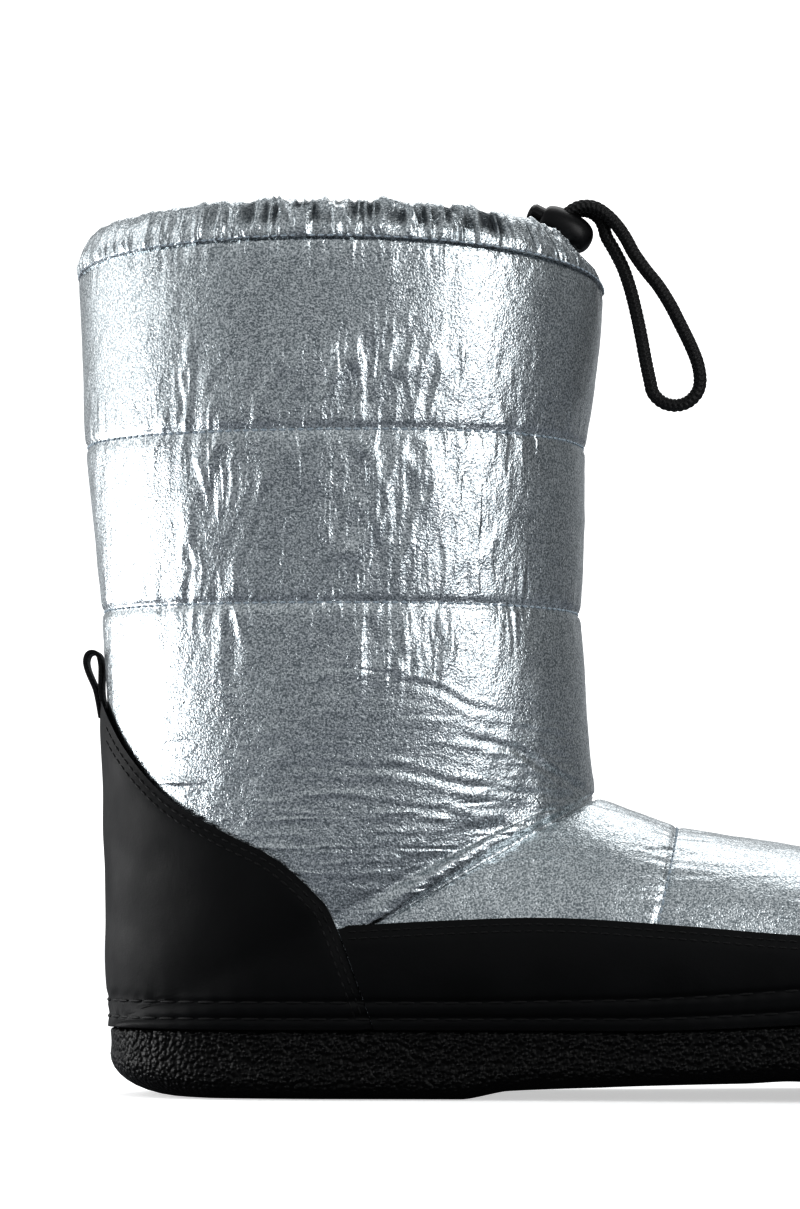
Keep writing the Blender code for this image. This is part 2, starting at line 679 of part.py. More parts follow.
def cord_route():
    """Centreline of the drawcord, from the outer strand's foot on the collar to the inner strand's foot."""
    turned = Matrix.Rotation(LOCK_PITCH, 3, "Y")

    def on_lock(side, height):
        return tuple(LOCK_CENTRE + turned @ Vector((CORD_HOLE_AT, side * STRAND_PITCH / 2, height)))

    under = max(oval.height for oval in LOCK_BODY) / 2 * MM
    heights = [-under, -under / 2, 0, under / 2, under]
    up = [on_lock(-1, height) for height in heights]
    down = [on_lock(1, height) for height in reversed(heights)]
    points = np.array([*up, *(tuple(value * MM for value in point) for point in LOOP_ROUTE), *down])
    return smooth_polyline(points, CORD_POINTS)


def make_cord(braid, collection):
    """Round braided drawcord: up through the lock, round its loop and back down."""
    curve = bpy.data.curves.new("drawcord", "CURVE")
    curve.dimensions = "3D"
    curve.bevel_depth = CORD / 2
    curve.bevel_resolution = 2
    curve.use_fill_caps = True
    route = cord_route()
    spline = curve.splines.new("POLY")
    spline.points.add(len(route) - 1)
    for point, place in zip(spline.points, route):
        point.co = (*place, 1)
    curve.materials.append(braid)
    cord = bpy.data.objects.new("drawcord", curve)
    collection.objects.link(cord)
    return cord


def stand_on_origin(collections, cord):
    """Parents everything to an empty that brings the middle of the boot, without its cord, over the origin."""
    bpy.context.view_layer.update()
    graph = bpy.context.evaluated_depsgraph_get()
    corners = []
    for obj in collections[0].objects:
        if obj is not cord:
            solid = obj.evaluated_get(graph)
            corners += [obj.matrix_world @ Vector(corner) for corner in solid.bound_box]
    corners = np.array(corners)
    middle = (corners.min(axis=0) + corners.max(axis=0)) / 2
    stand = bpy.data.objects.new("stand", None)
    collections[1].objects.link(stand)
    stand.location = (-middle[0], -middle[1], 0)
    for collection in collections:
        for obj in collection.objects:
            if obj is not stand:
                obj.parent = stand


def main():
    for obj in list(bpy.data.objects):
        bpy.data.objects.remove(obj)
    parts = bpy.data.collections.new("lined_bootie")
    cutters = bpy.data.collections.new("cutters")
    for collection in (parts, cutters):
        bpy.context.scene.collection.children.link(collection)
    silver = material("silver_foil_fabric", (0.62, 0.64, 0.66), 0.38, 0.9)
    leather = material("black_leather", (0.012, 0.012, 0.014), 0.45)
    rubber = material("black_rubber", (0.01, 0.01, 0.011), 0.6)
    felt = material("grey_felt", (0.32, 0.32, 0.33), 0.95)
    webbing = material("black_webbing", (0.012, 0.012, 0.013), 0.8)
    plastic = material("black_plastic", (0.014, 0.014, 0.015), 0.4)
    braid = material("black_braid", (0.012, 0.012, 0.013), 0.75)
    make_upper(silver, parts)
    make_outsole(rubber, parts)
    make_insole(felt, parts)
    make_overlay("counter", counter_outline(), COUNTER_THICK, leather, parts, cutters)
    make_overlay("mudguard", mudguard_outline(), MUDGUARD_THICK, leather, parts, cutters)
    make_casing(silver, parts)
    make_pull(webbing, parts)
    make_lock(plastic, parts, cutters)
    cord = make_cord(braid, parts)
    stand_on_origin((parts, cutters), cord)


main()
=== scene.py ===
"""Looks of the lined bootie: foil quilting, leather, pebbled rubber, drawcord, lights and camera."""

import functools
import math
from collections import namedtuple

import bmesh
import bpy
import numpy as np
from mathutils import Matrix, Vector
from mathutils.bvhtree import BVHTree


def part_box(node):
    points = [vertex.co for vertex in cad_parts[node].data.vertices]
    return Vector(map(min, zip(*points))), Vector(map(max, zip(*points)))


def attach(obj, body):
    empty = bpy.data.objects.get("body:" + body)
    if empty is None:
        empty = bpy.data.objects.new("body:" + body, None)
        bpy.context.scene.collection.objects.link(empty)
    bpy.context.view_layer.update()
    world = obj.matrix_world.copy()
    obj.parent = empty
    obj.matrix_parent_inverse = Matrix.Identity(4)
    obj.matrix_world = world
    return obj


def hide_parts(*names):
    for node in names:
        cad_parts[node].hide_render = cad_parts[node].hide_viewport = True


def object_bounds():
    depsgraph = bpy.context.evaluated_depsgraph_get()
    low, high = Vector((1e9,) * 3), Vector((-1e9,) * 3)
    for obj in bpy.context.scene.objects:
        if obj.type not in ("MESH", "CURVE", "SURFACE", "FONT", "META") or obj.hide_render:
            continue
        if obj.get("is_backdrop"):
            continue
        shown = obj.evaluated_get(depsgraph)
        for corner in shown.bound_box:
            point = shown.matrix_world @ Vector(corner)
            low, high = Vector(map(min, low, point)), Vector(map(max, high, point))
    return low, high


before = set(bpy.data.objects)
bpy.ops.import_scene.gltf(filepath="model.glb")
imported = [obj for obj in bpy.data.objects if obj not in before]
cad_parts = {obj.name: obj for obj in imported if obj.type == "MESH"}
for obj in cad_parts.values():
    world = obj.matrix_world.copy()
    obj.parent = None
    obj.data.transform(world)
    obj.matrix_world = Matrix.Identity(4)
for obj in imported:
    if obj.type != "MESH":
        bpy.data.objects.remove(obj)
cad_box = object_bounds()

MM = 0.001

# The boot's own measures, as in the solid model: millimetres from the back of the heel
FOOT_LENGTH = 268 * MM
SOLE_SIDE = 18 * MM
TOE_SPRING = 9.5 * MM
SPRING_START = 140 * MM
WALL = 4.5 * MM
SEAT_GAP = 0.3 * MM
LEATHER_GAP = 0.45 * MM
COUNTER_THICK = 2.1 * MM
MUDGUARD_THICK = 1.5 * MM
FEATHER_INSET = MUDGUARD_THICK + SEAT_GAP
CORD = 3.6 * MM
SHELL_THICK = 3 * MM
INSOLE_THICK = 4 * MM
INSOLE_INSET = FEATHER_INSET + WALL + 1.5 * MM
FOOTBED_EDGE = 2 * MM
HEEL = Vector((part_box("outsole")[0][0], 0, 0))

SoleRow = namedtuple("SoleRow", "along outer inner")
SOLE_OUTLINE = [
    SoleRow(4, 17, 17),
    SoleRow(13, 28, 27.5),
    SoleRow(27, 35, 34),
    SoleRow(48, 38, 36.5),
    SoleRow(74, 38.5, 35.5),
    SoleRow(104, 39.5, 33.5),
    SoleRow(134, 43, 35.5),
    SoleRow(162, 47, 40.5),
    SoleRow(187, 49, 46),
    SoleRow(209, 48, 48.5),
    SoleRow(229, 43, 47.5),
    SoleRow(246, 33, 42),
    SoleRow(258, 20, 33),
    SoleRow(265.5, 6, 20),
]
TOE_TIP_INWARD = 7.5

Section = namedtuple("Section", "front_x front_z back_x back_z mid half widest front_round back_round bow")
LAST = [
    Section(265.6, 27.6, 254, 0, 6.0, 28.5, 0.98, 2.2, 2.0, 0),
    Section(264.2, 35.0, 248, 0, 5.5, 34.0, 0.85, 2.2, 2.0, 0),
    Section(259.5, 44.0, 240, 0, 4.5, 40.0, 0.75, 2.3, 2.0, 0),
    Section(250.0, 51.5, 229, 0, 3.0, 45.5, 0.70, 2.3, 2.0, 0),
    Section(236.0, 57.0, 214, 0, 1.5, 48.5, 0.67, 2.3, 2.0, 0),
    Section(219.0, 61.0, 198, 0, 0.0, 49.5, 0.65, 2.2, 2.0, 0),
    Section(202.0, 64.6, 184, 0, -1.0, 49.0, 0.64, 2.2, 2.0, 0),
    Section(185.0, 67.8, 170, 0, -1.5, 47.5, 0.63, 2.2, 2.0, 0),
    Section(169.0, 70.3, 156, 0, -2.5, 46.0, 0.63, 2.2, 2.0, 0),
    Section(155.0, 72.8, 142, 0, -3.0, 44.5, 0.63, 2.2, 2.0, 0),
    Section(144.0, 76.6, 122, 0, -3.0, 43.0, 0.62, 2.2, 2.0, 0),
    Section(138.5, 78.8, 96, 0, -2.5, 41.5, 0.62, 2.2, 2.0, 0),
    Section(135.0, 80.2, 64, 0, -1.8, 40.8, 0.60, 2.2, 2.0, 0),
    Section(132.6, 81.0, 27, 0, -1.0, 41.0, 0.56, 2.2, 2.1, 0),
    Section(132.4, 82.2, 14, 0, -0.6, 41.4, 0.54, 2.2, 2.1, 0),
    Section(132.3, 83.4, 6.6, 0, -0.3, 41.8, 0.53, 2.2, 2.1, 0),
    Section(132.2, 84.4, 3.0, 0, -0.1, 42.2, 0.52, 2.2, 2.1, 0),
    Section(132.1, 85.2, 1.8, 0, 0.0, 42.7, 0.51, 2.2, 2.1, 0),
    Section(131.9, 87.2, 1.0, 32, 0.0, 44.4, 0.49, 2.2, 2.1, 0),
    Section(131.5, 91.0, 0.8, 52, 0.0, 45.8, 0.47, 2.2, 2.1, 0),
    Section(131.0, 96.5, 0.4, 76, 0.0, 47.0, 0.45, 2.2, 2.1, 0),
    Section(130.4, 105.0, -0.6, 98, 0.0, 48.4, 0.43, 2.2, 2.1, 0),
    Section(129.8, 117.0, -1.9, 116, 0.0, 49.2, 0.42, 2.2, 2.1, 0),
    Section(128.8, 130.6, -3.0, 131.4, 0.0, 50.0, 0.42, 2.2, 2.1, 0),
    Section(129.6, 146.0, -4.4, 146.4, 0.0, 51.2, 0.42, 2.2, 2.1, 0),
    Section(130.0, 162.0, -6.0, 162.0, 0.0, 52.6, 0.42, 2.2, 2.1, 0),
    Section(130.2, 176.2, -7.6, 176.8, 0.0, 53.6, 0.42, 2.2, 2.1, 0),
    Section(132.4, 191.0, -8.2, 192.0, 0.0, 54.6, 0.42, 2.2, 2.1, 1),
    Section(134.4, 206.0, -8.8, 208.5, 0.0, 55.6, 0.42, 2.2, 2.1, 3),
    Section(135.4, 219.6, -9.6, 223.4, 0.0, 56.4, 0.42, 2.2, 2.1, 6),
]
VAMP_STITCH_ROW, ANKLE_SEAM_ROW, LOWER_STITCH_ROW, UPPER_STITCH_ROW = 9, 13, 23, 26
COLLAR_ROW = len(LAST) - 1
HEEL_EDGE_ROW = max(i for i, row in enumerate(LAST) if row.back_z == 0)
# Rows of the last that have a seam, with the depth of its groove in millimetres
SEAMS = {
    VAMP_STITCH_ROW: 0.35,
    ANKLE_SEAM_ROW: 0.5,
    LOWER_STITCH_ROW: 0.55,
    UPPER_STITCH_ROW: 0.55,
    COLLAR_ROW: 0.6,
}

Edge = namedtuple("Edge", "along height")
COUNTER_EDGE = [
    Edge(-3, 108),
    Edge(6, 93),
    Edge(18.4, 80),
    Edge(33.4, 71),
    Edge(47.6, 63.8),
    Edge(58.4, 54.5),
    Edge(64, 45.9),
    Edge(76, 12),
]
MUDGUARD_EDGE = [
    Edge(50, 45),
    Edge(95, 47.4),
    Edge(123, 48),
    Edge(155, 46),
    Edge(187, 43.5),
    Edge(225, 42.5),
    Edge(280, 44),
]
BOTTOM_LINE = [
    Edge(0, 0),
    Edge(60, 0),
    Edge(97, 0),
    Edge(108, 2.2),
    Edge(133, 3.3),
    Edge(150, 4.0),
    Edge(170, 4.5),
    Edge(188, 4.8),
    Edge(204, 0),
    Edge(212, 0),
    Edge(226, 0),
    Edge(268, 10),
]
Rounding = namedtuple("Rounding", "along up inward")
SOLE_ROUNDING = [
    Rounding(0, 11, 19),
    Rounding(28, 6, 8),
    Rounding(60, 5, 6),
    Rounding(150, 5, 8),
    Rounding(200, 6, 13),
    Rounding(268, 7, 15),
]
Casing = namedtuple("Casing", "share height lean")
CASING = [
    Casing(0.0, 13.0, 13.0),
    Casing(0.05, 12.9, 12.6),
    Casing(0.15, 11.2, 8.0),
    Casing(0.3, 10.0, 3.6),
    Casing(0.6, 10.0, 2.8),
    Casing(1.0, 10.4, 2.2),
]
# The casing's outline in section: shares of the wall inwards and of its height
CASING_PROFILE = [
    (0, 0),
    (-0.14, 0.3),
    (-0.1, 0.62),
    (0.12, 0.9),
    (0.42, 1),
    (0.76, 0.88),
    (0.98, 0.55),
    (1, 0.08),
]

Oval = namedtuple("Oval", "at width height")
LOCK_CENTRE = Vector((125.2, 0, 237.0)) * MM
LOCK_PITCH = math.radians(27)
LOCK_HEIGHT = 10.5 * MM
SMOOTH_BARREL = [
    Oval(7.6, 0.4, 0.4),
    Oval(7.3, 5.2, 3.8),
    Oval(6.3, 9.4, 7.0),
    Oval(4.4, 12.2, 9.2),
    Oval(1.6, 13.8, 10.4),
    Oval(-1.6, 14.1, 10.6),
    Oval(-4.6, 13.4, 10.0),
    Oval(-6.6, 12.0, 8.7),
    Oval(-7.4, 10.8, 7.2),
    Oval(-7.3, 9.9, 6.2),
    Oval(-6.0, 9.9, 6.2),
    Oval(-5.9, 0.4, 0.4),
]
CORD_HOLE_AT = -2.0 * MM
CORD_HOLE = 4.2 * MM
STRAND_PITCH = 4.1 * MM
LOOP_ROUTE = [
    (124.33, -2.05, 239.69),
    (126.12, -2.05, 241.94),
    (128.9, -2.0, 243.37),
    (132.0, -1.7, 243.51),
    (134.67, -1.2, 242.46),
    (137.3, -0.5, 240.4),
    (139.6, 0.4, 237.9),
    (141.8, 1.0, 234.6),
    (143.8, 1.0, 230.8),
    (147.0, 1.0, 226.2),
    (150.6, 1.0, 221.6),
    (153.9, 1.0, 216.2),
    (156.6, 1.0, 210.8),
    (159.2, 1.0, 205.4),
    (161.2, 1.0, 200.2),
    (161.9, 1.0, 195.4),
    (161.0, 1.0, 191.95),
    (158.45, 1.0, 189.4),
    (155.0, 1.0, 188.5),
    (151.55, 1.1, 189.4),
    (149.0, 1.2, 191.95),
    (148.1, 1.4, 195.4),
    (147.0, 1.8, 200.8),
    (145.8, 2.3, 207.6),
    (144.4, 2.8, 214.6),
    (142.8, 3.2, 221.2),
    (140.8, 3.4, 227.2),
    (138.3, 3.2, 232.2),
    (136.3, 3.0, 235.7),
    (135.5, 2.8, 238.5),
    (134.28, 2.6, 240.83),
    (131.73, 2.3, 242.61),
    (128.64, 2.1, 242.88),
    (126.24, 2.05, 241.88),
    (124.33, 2.05, 239.69),
]
PULL_WIDTH = 9 * MM
PULL_STRAP = 1.2 * MM
PULL_ROUTE = [
    Edge(-1.6, 102.5),
    Edge(-2.2, 105.5),
    Edge(-2.85, 108.5),
    Edge(-3.0, 111),
    Edge(-2.95, 114),
    Edge(-3.0, 117),
    Edge(-3.6, 119.6),
    Edge(-5.0, 120.6),
    Edge(-6.5, 120.2),
    Edge(-7.2, 118.4),
    Edge(-6.9, 116.2),
    Edge(-5.9, 113.6),
    Edge(-4.8, 111.2),
    Edge(-4.15, 109.2),
    Edge(-3.5, 106),
    Edge(-2.9, 102.5),
]

# How finely the soft surfaces are sampled
UPPER_ROWS = 360
UPPER_COLUMNS = 560
LEATHER_COLUMNS = 420
# Ends of a row that are closer than this are one point
WELD = 0.02 * MM


# Curves and the form of the boot


def catmull_rom(values, at):
    """Smooth value at a fractional row of a table."""
    values = np.asarray(values, float)
    last = len(values) - 1
    at = np.clip(np.asarray(at, float), 0, last)
    low = np.minimum(at.astype(int), last - 1)
    step = (at - low)[..., None] if values.ndim > 1 else at - low
    before, start, end, after = (values[np.clip(low + k, 0, last)] for k in (-1, 0, 1, 2))
    slope_start, slope_end = (end - before) / 2, (after - start) / 2
    squared, cubed = step**2, step**3
    return (
        (2 * cubed - 3 * squared + 1) * start
        + (cubed - 2 * squared + step) * slope_start
        + (3 * squared - 2 * cubed) * end
        + (cubed - squared) * slope_end
    )


def travel(points):
    """Distance travelled to each point of a line."""
    return np.concatenate([[0], np.cumsum(np.linalg.norm(np.diff(points, axis=0), axis=1))])


def at_travel(wanted, travelled, points):
    """What a line of points comes to at distances along it."""
    return np.stack([np.interp(wanted, travelled, column) for column in np.transpose(points)], axis=-1)


def smooth_polyline(points, count):
    """The smooth curve through a few points, as evenly spaced points."""
    fine = catmull_rom(points, np.linspace(0, len(points) - 1, 40 * len(points)))
    return even_polyline(fine, count)


def even_polyline(points, count):
    """A polyline as evenly spaced points."""
    travelled = travel(points)
    return at_travel(np.linspace(0, travelled[-1], count), travelled, points)


@functools.lru_cache(maxsize=None)
def sole_outline(inset, count, then=0.0):
    """Outline of the sole seen from above, from the heel along the outer side, set in by a distance.

    Its points are evenly spaced, and then move in by one more distance.
    """
    outer = [(row.along, -row.outer) for row in SOLE_OUTLINE]
    inner = [(row.along, row.inner) for row in reversed(SOLE_OUTLINE)]
    toe = (FOOT_LENGTH / MM, TOE_TIP_INWARD)
    loop = [inner[-1], (0, 0), *outer, toe, *inner, (0, 0), outer[0]]
    fine = catmull_rom(np.array(loop) * MM, np.linspace(1, len(loop) - 2, 40 * len(loop)))[:-1]
    tangent = np.roll(fine, -1, axis=0) - np.roll(fine, 1, axis=0)
    inward = np.stack([-tangent[:, 1], tangent[:, 0]], axis=1)
    unit = inward / np.linalg.norm(inward, axis=1)[:, None]
    moved = fine + inset * unit
    travelled = travel(np.vstack([moved, moved[:1]]))
    wanted = np.linspace(0, travelled[-1], count + 1)[:-1]
    moved = moved + then * unit
    return at_travel(wanted, travelled, np.vstack([moved, moved[:1]]))


def table_curve(rows, along):
    """Height from an edge table at distances from the heel, in metres."""
    places = np.array([row[0] for row in rows]) * MM
    heights = np.array([row[1] for row in rows]) * MM
    at = np.interp(along, places, np.arange(len(rows)))
    return np.maximum(catmull_rom(heights, at), 0)


def sole_top(along):
    """Height of the ledge that the upper stands on: level at the heel, rising with the toe spring."""
    share = np.clip((along - SPRING_START) / (FOOT_LENGTH - SPRING_START), 0, None)
    return SOLE_SIDE + TOE_SPRING * share**1.6


@functools.lru_cache(maxsize=None)
def section_table():
    """The last's sections in metres, with those on the ledge ended just above it."""
    rows = np.array(LAST, float)
    rows[:, [0, 1, 2, 3, 4, 5, 9]] *= MM
    on_edge = rows[:, 3] == 0
    rows[on_edge, 3] = sole_top(rows[on_edge, 2]) + SEAT_GAP
    return rows


def edge_point(along, side, inset):
    """Point of the upper's lower edge on one side of the boot, moved in by a distance."""
    edge = sole_outline(FEATHER_INSET, 720)
    moved = sole_outline(FEATHER_INSET, 720, inset)
    toe = edge[:, 0].argmax()
    half = slice(None, toe + 1) if side < 0 else slice(None, toe - 1, -1)
    return [np.interp(along, edge[half][:, 0], moved[half][:, axis]) for axis in range(2)]


def section_side(row, half, end_half, length, shares):
    """One side of a section: place along it and sideways reach, evenly spaced from the ridge to its end."""
    turn = np.linspace(0, math.pi, 400)
    cosine, sine = np.abs(np.cos(turn)), np.sin(turn).clip(0)
    ahead = turn <= math.pi / 2
    power = 2 / np.where(ahead, row.front_round, row.back_round)
    place = row.widest + np.where(ahead, -row.widest, 1 - row.widest) * cosine**power
    power = power * np.where(ahead, 1, 1 + end_half / half)
    reach = np.where(ahead, 0, end_half) + np.where(ahead, half, half - end_half) * sine**power
    travelled = np.concatenate([[0], np.cumsum(np.hypot(np.diff(place) * length, np.diff(reach)))])
    wanted = shares * travelled[-1]
    return np.interp(wanted, travelled, place), np.interp(wanted, travelled, reach)


def upper_grid(rows, columns, inset=0.0):
    """Points of the upper's outside, or of a form inside it by inset: a line for each section of the last."""
    table = section_table()
    shares = np.linspace(0, 1, columns // 2 + 1)
    grid = []
    for at in rows:
        row = Section(*catmull_rom(table, at))
        front, back = np.array([row.front_x, row.front_z]), np.array([row.back_x, row.back_z])
        lengthways = (back - front) / np.linalg.norm(back - front)
        lift = row.bow * np.sin(math.pi * shares)
        sides = []
        for side in (-1, 1):
            if at > HEEL_EDGE_ROW:
                end, end_half = back - lengthways * inset, 0.0
            else:
                along, across = edge_point(row.back_x, side, inset)
                end, end_half = np.array([along, row.back_z]), side * (across - row.mid)
            start = front + lengthways * inset
            length = np.linalg.norm(end - start)
            place, reach = section_side(row, row.half - inset, end_half, length, shares)
            line = start + (end - start) * place[:, None]
            sides.append(np.column_stack([line[:, 0], row.mid + side * reach, line[:, 1] + lift]))
        grid.append(np.vstack([sides[0][::-1], sides[1][1:]]))
    return np.array(grid)


def eased(grid, passes):
    """A grid with the small ridges between its rows smoothed away, except close over the sole."""
    above = np.clip((grid[..., 2] - sole_top(grid[..., 0])) / (9 * MM) - 0.2, 0, 1)[..., None]
    smooth = grid
    for _ in range(passes):
        smooth = np.concatenate([smooth[:1], (smooth[:-2] + 2 * smooth[1:-1] + smooth[2:]) / 4, smooth[-1:]])
    return grid + (smooth - grid) * above


def even_rows(low, high, count):
    """Row numbers of the last that lie about evenly apart, by the mean of its front and its back lines."""
    at = np.linspace(low, high, 2000)
    table = catmull_rom(section_table(), at)
    steps = sum(np.linalg.norm(np.diff(table[:, k : k + 2], axis=0), axis=1) for k in (0, 2))
    travelled = np.concatenate([[0], np.cumsum(steps)])
    return np.interp(np.linspace(0, travelled[-1], count), travelled, at)


def grid_normals(grid):
    """Outward unit normals of a grid whose rows run from the outer side over the front to the inner side."""
    across, along = np.gradient(grid, axis=1), np.gradient(grid, axis=0)
    normal = np.cross(across, along)
    length = np.linalg.norm(normal, axis=2, keepdims=True)
    return normal / np.maximum(length, 1e-12)


# Noise for creases and puckers


def lattice_noise(u, v, seed):
    """Smooth random values from 0 to 1 over a plane, one random value at each whole number."""
    table = np.random.RandomState(seed).rand(64, 64)
    column, row = np.floor(u).astype(int), np.floor(v).astype(int)
    x, y = u - column, v - row
    x, y = x * x * (3 - 2 * x), y * y * (3 - 2 * y)
    corner = [[table[(row + dy) % 64, (column + dx) % 64] for dx in (0, 1)] for dy in (0, 1)]
    top = corner[0][0] * (1 - x) + corner[0][1] * x
    bottom = corner[1][0] * (1 - x) + corner[1][1] * x
    return top * (1 - y) + bottom * y


def ridges(u, v, seed, sharp=3.0):
    """Thin raised lines where the noise crosses its middle, from 0 to 1."""
    return (1 - np.abs(2 * lattice_noise(u, v, seed) - 1)) ** sharp


def hump(away, wide):
    """A smooth bump of height 1, by the distance from its middle."""
    return np.exp(-((away / wide) ** 2))


def near_polyline(x, z, line):
    """Distance in side view to a polyline, and the share of its length there."""
    best = np.full(x.shape, np.inf)
    share = np.zeros(x.shape)
    count = len(line) - 1
    for k, (start, end) in enumerate(zip(line[:-1], line[1:])):
        step = end - start
        at = ((x - start[0]) * step[0] + (z - start[1]) * step[1]) / (step @ step)
        at = at.clip(0, 1)
        distance = np.hypot(x - start[0] - at * step[0], z - start[1] - at * step[1])
        closer = distance < best
        best = np.where(closer, distance, best)
        share = np.where(closer, (k + at) / count, share)
    return best, share


# Mesh helpers


def new_object(name, bm, material, smooth=True):
    """A new piece from a mesh, in its material."""
    mesh = bpy.data.meshes.new(name)
    bm.to_mesh(mesh)
    bm.free()
    if smooth:
        mesh.shade_smooth()
    obj = bpy.data.objects.new(name, mesh)
    bpy.context.scene.collection.objects.link(obj)
    mesh.materials.append(material)
    return obj


def add_sheet(bm, grid, **amounts):
    """The vertices of a new sheet through a grid of points, with any amounts at them by name."""
    rows, columns = grid.shape[:2]
    layers = [bm.verts.layers.float.new(name) for name in amounts]
    verts = bmesh.ops.create_grid(bm, x_segments=columns - 1, y_segments=rows - 1, size=1)["verts"]
    for vert, point in zip(verts, grid.reshape(-1, 3)):
        vert.co = Vector(point) + HEEL
    for layer, values in zip(layers, amounts.values()):
        for vert, amount in zip(verts, values.reshape(-1)):
            vert[layer] = amount
    return verts


def grid_bmesh(grid, **amounts):
    """A sheet through a grid of points, its rows closed where their ends meet."""
    bm = bmesh.new()
    verts = add_sheet(bm, grid, **amounts)
    columns = grid.shape[1]
    ends = [vert for k, vert in enumerate(verts) if k % columns in (0, columns - 1)]
    bmesh.ops.remove_doubles(bm, verts=ends, dist=WELD)
    return bm


def closed_rows(rows):
    """Rows as a grid, each with its first point again at its end."""
    return np.concatenate([rows, np.array(rows)[:, :1]], axis=1)


def modifier(obj, kind, **settings):
    """Puts a modifier on a piece."""
    made = obj.modifiers.new(kind.title(), kind)
    for key, value in settings.items():
        setattr(made, key, value)


def apply_modifiers(obj):
    """Makes the modified mesh the piece's own."""
    graph = bpy.context.evaluated_depsgraph_get()
    mesh = bpy.data.meshes.new_from_object(obj.evaluated_get(graph))
    obj.modifiers.clear()
    obj.data = mesh


def settle(obj, body, slot, *nodes):
    """Rides a piece on its body, and stands it for CAD nodes, which it hides. The slot is not used."""
    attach(obj, body)
    if nodes:
        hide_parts(*nodes)
    return obj


def surface_of(*objects):
    """Ray target over the outsides of a few pieces."""
    graph = bpy.context.evaluated_depsgraph_get()
    trees = [BVHTree.FromObject(obj, graph) for obj in objects]

    def cast(origin, direction, reach=0.25):
        hits = [tree.ray_cast(Vector(origin) + HEEL, Vector(direction).normalized(), reach) for tree in trees]
        hits = [hit for hit in hits if hit[0] is not None]
        if not hits:
            return None
        hit = min(hits, key=lambda one: one[3])
        return hit[0] - HEEL, hit[1]

    return cast


# Materials


def linear(colour):
    """An sRGB hex colour as linear red, green, blue and alpha."""
    channels = [int(colour[k : k + 2], 16) / 255 for k in (1, 3, 5)]
    return (*(c / 12.92 if c <= 0.04045 else ((c + 0.055) / 1.055) ** 2.4 for c in channels), 1.0)


def add_node(tree, kind, inputs=None, **settings):
    """A shader node with its settings, and its inputs by name or number: values, or what they come from."""
    made = tree.nodes.new("ShaderNode" + kind)
    for key, value in settings.items():
        setattr(made, key, value)
    for key, value in (inputs or {}).items():
        if isinstance(value, bpy.types.Node):
            value = next(output for output in value.outputs if output.enabled)
        if isinstance(value, bpy.types.NodeSocket):
            tree.links.new(value, made.inputs[key])
        else:
            made.inputs[key].default_value = value
    return made


def start_material(name):
    """An empty material, what adds a node to it, and places on the piece in metres."""
    made = bpy.data.materials.new(name)
    made.use_nodes = True
    made.node_tree.nodes.clear()
    add = functools.partial(add_node, made.node_tree)
    return made, add, add("TexCoord").outputs["Object"]


def finish_material(add, inputs):
    """Links the surface to the material's output."""
    add("OutputMaterial", {"Surface": add("BsdfPrincipled", inputs)})


def spread(low, high, source, to_low=0.0, to_high=1.0):
    """Inputs that carry a range of a source to another range."""
    return {"Value": source, "From Min": low, "From Max": high, "To Min": to_low, "To Max": to_high}


def two_tone(add, source, low, high, start, end):
    """A colour that runs from one to another as a source runs from low to high."""
    share = add("MapRange", spread(low, high, source))
    return add("Mix", {0: share, 6: linear(start), 7: linear(end)}, data_type="RGBA")


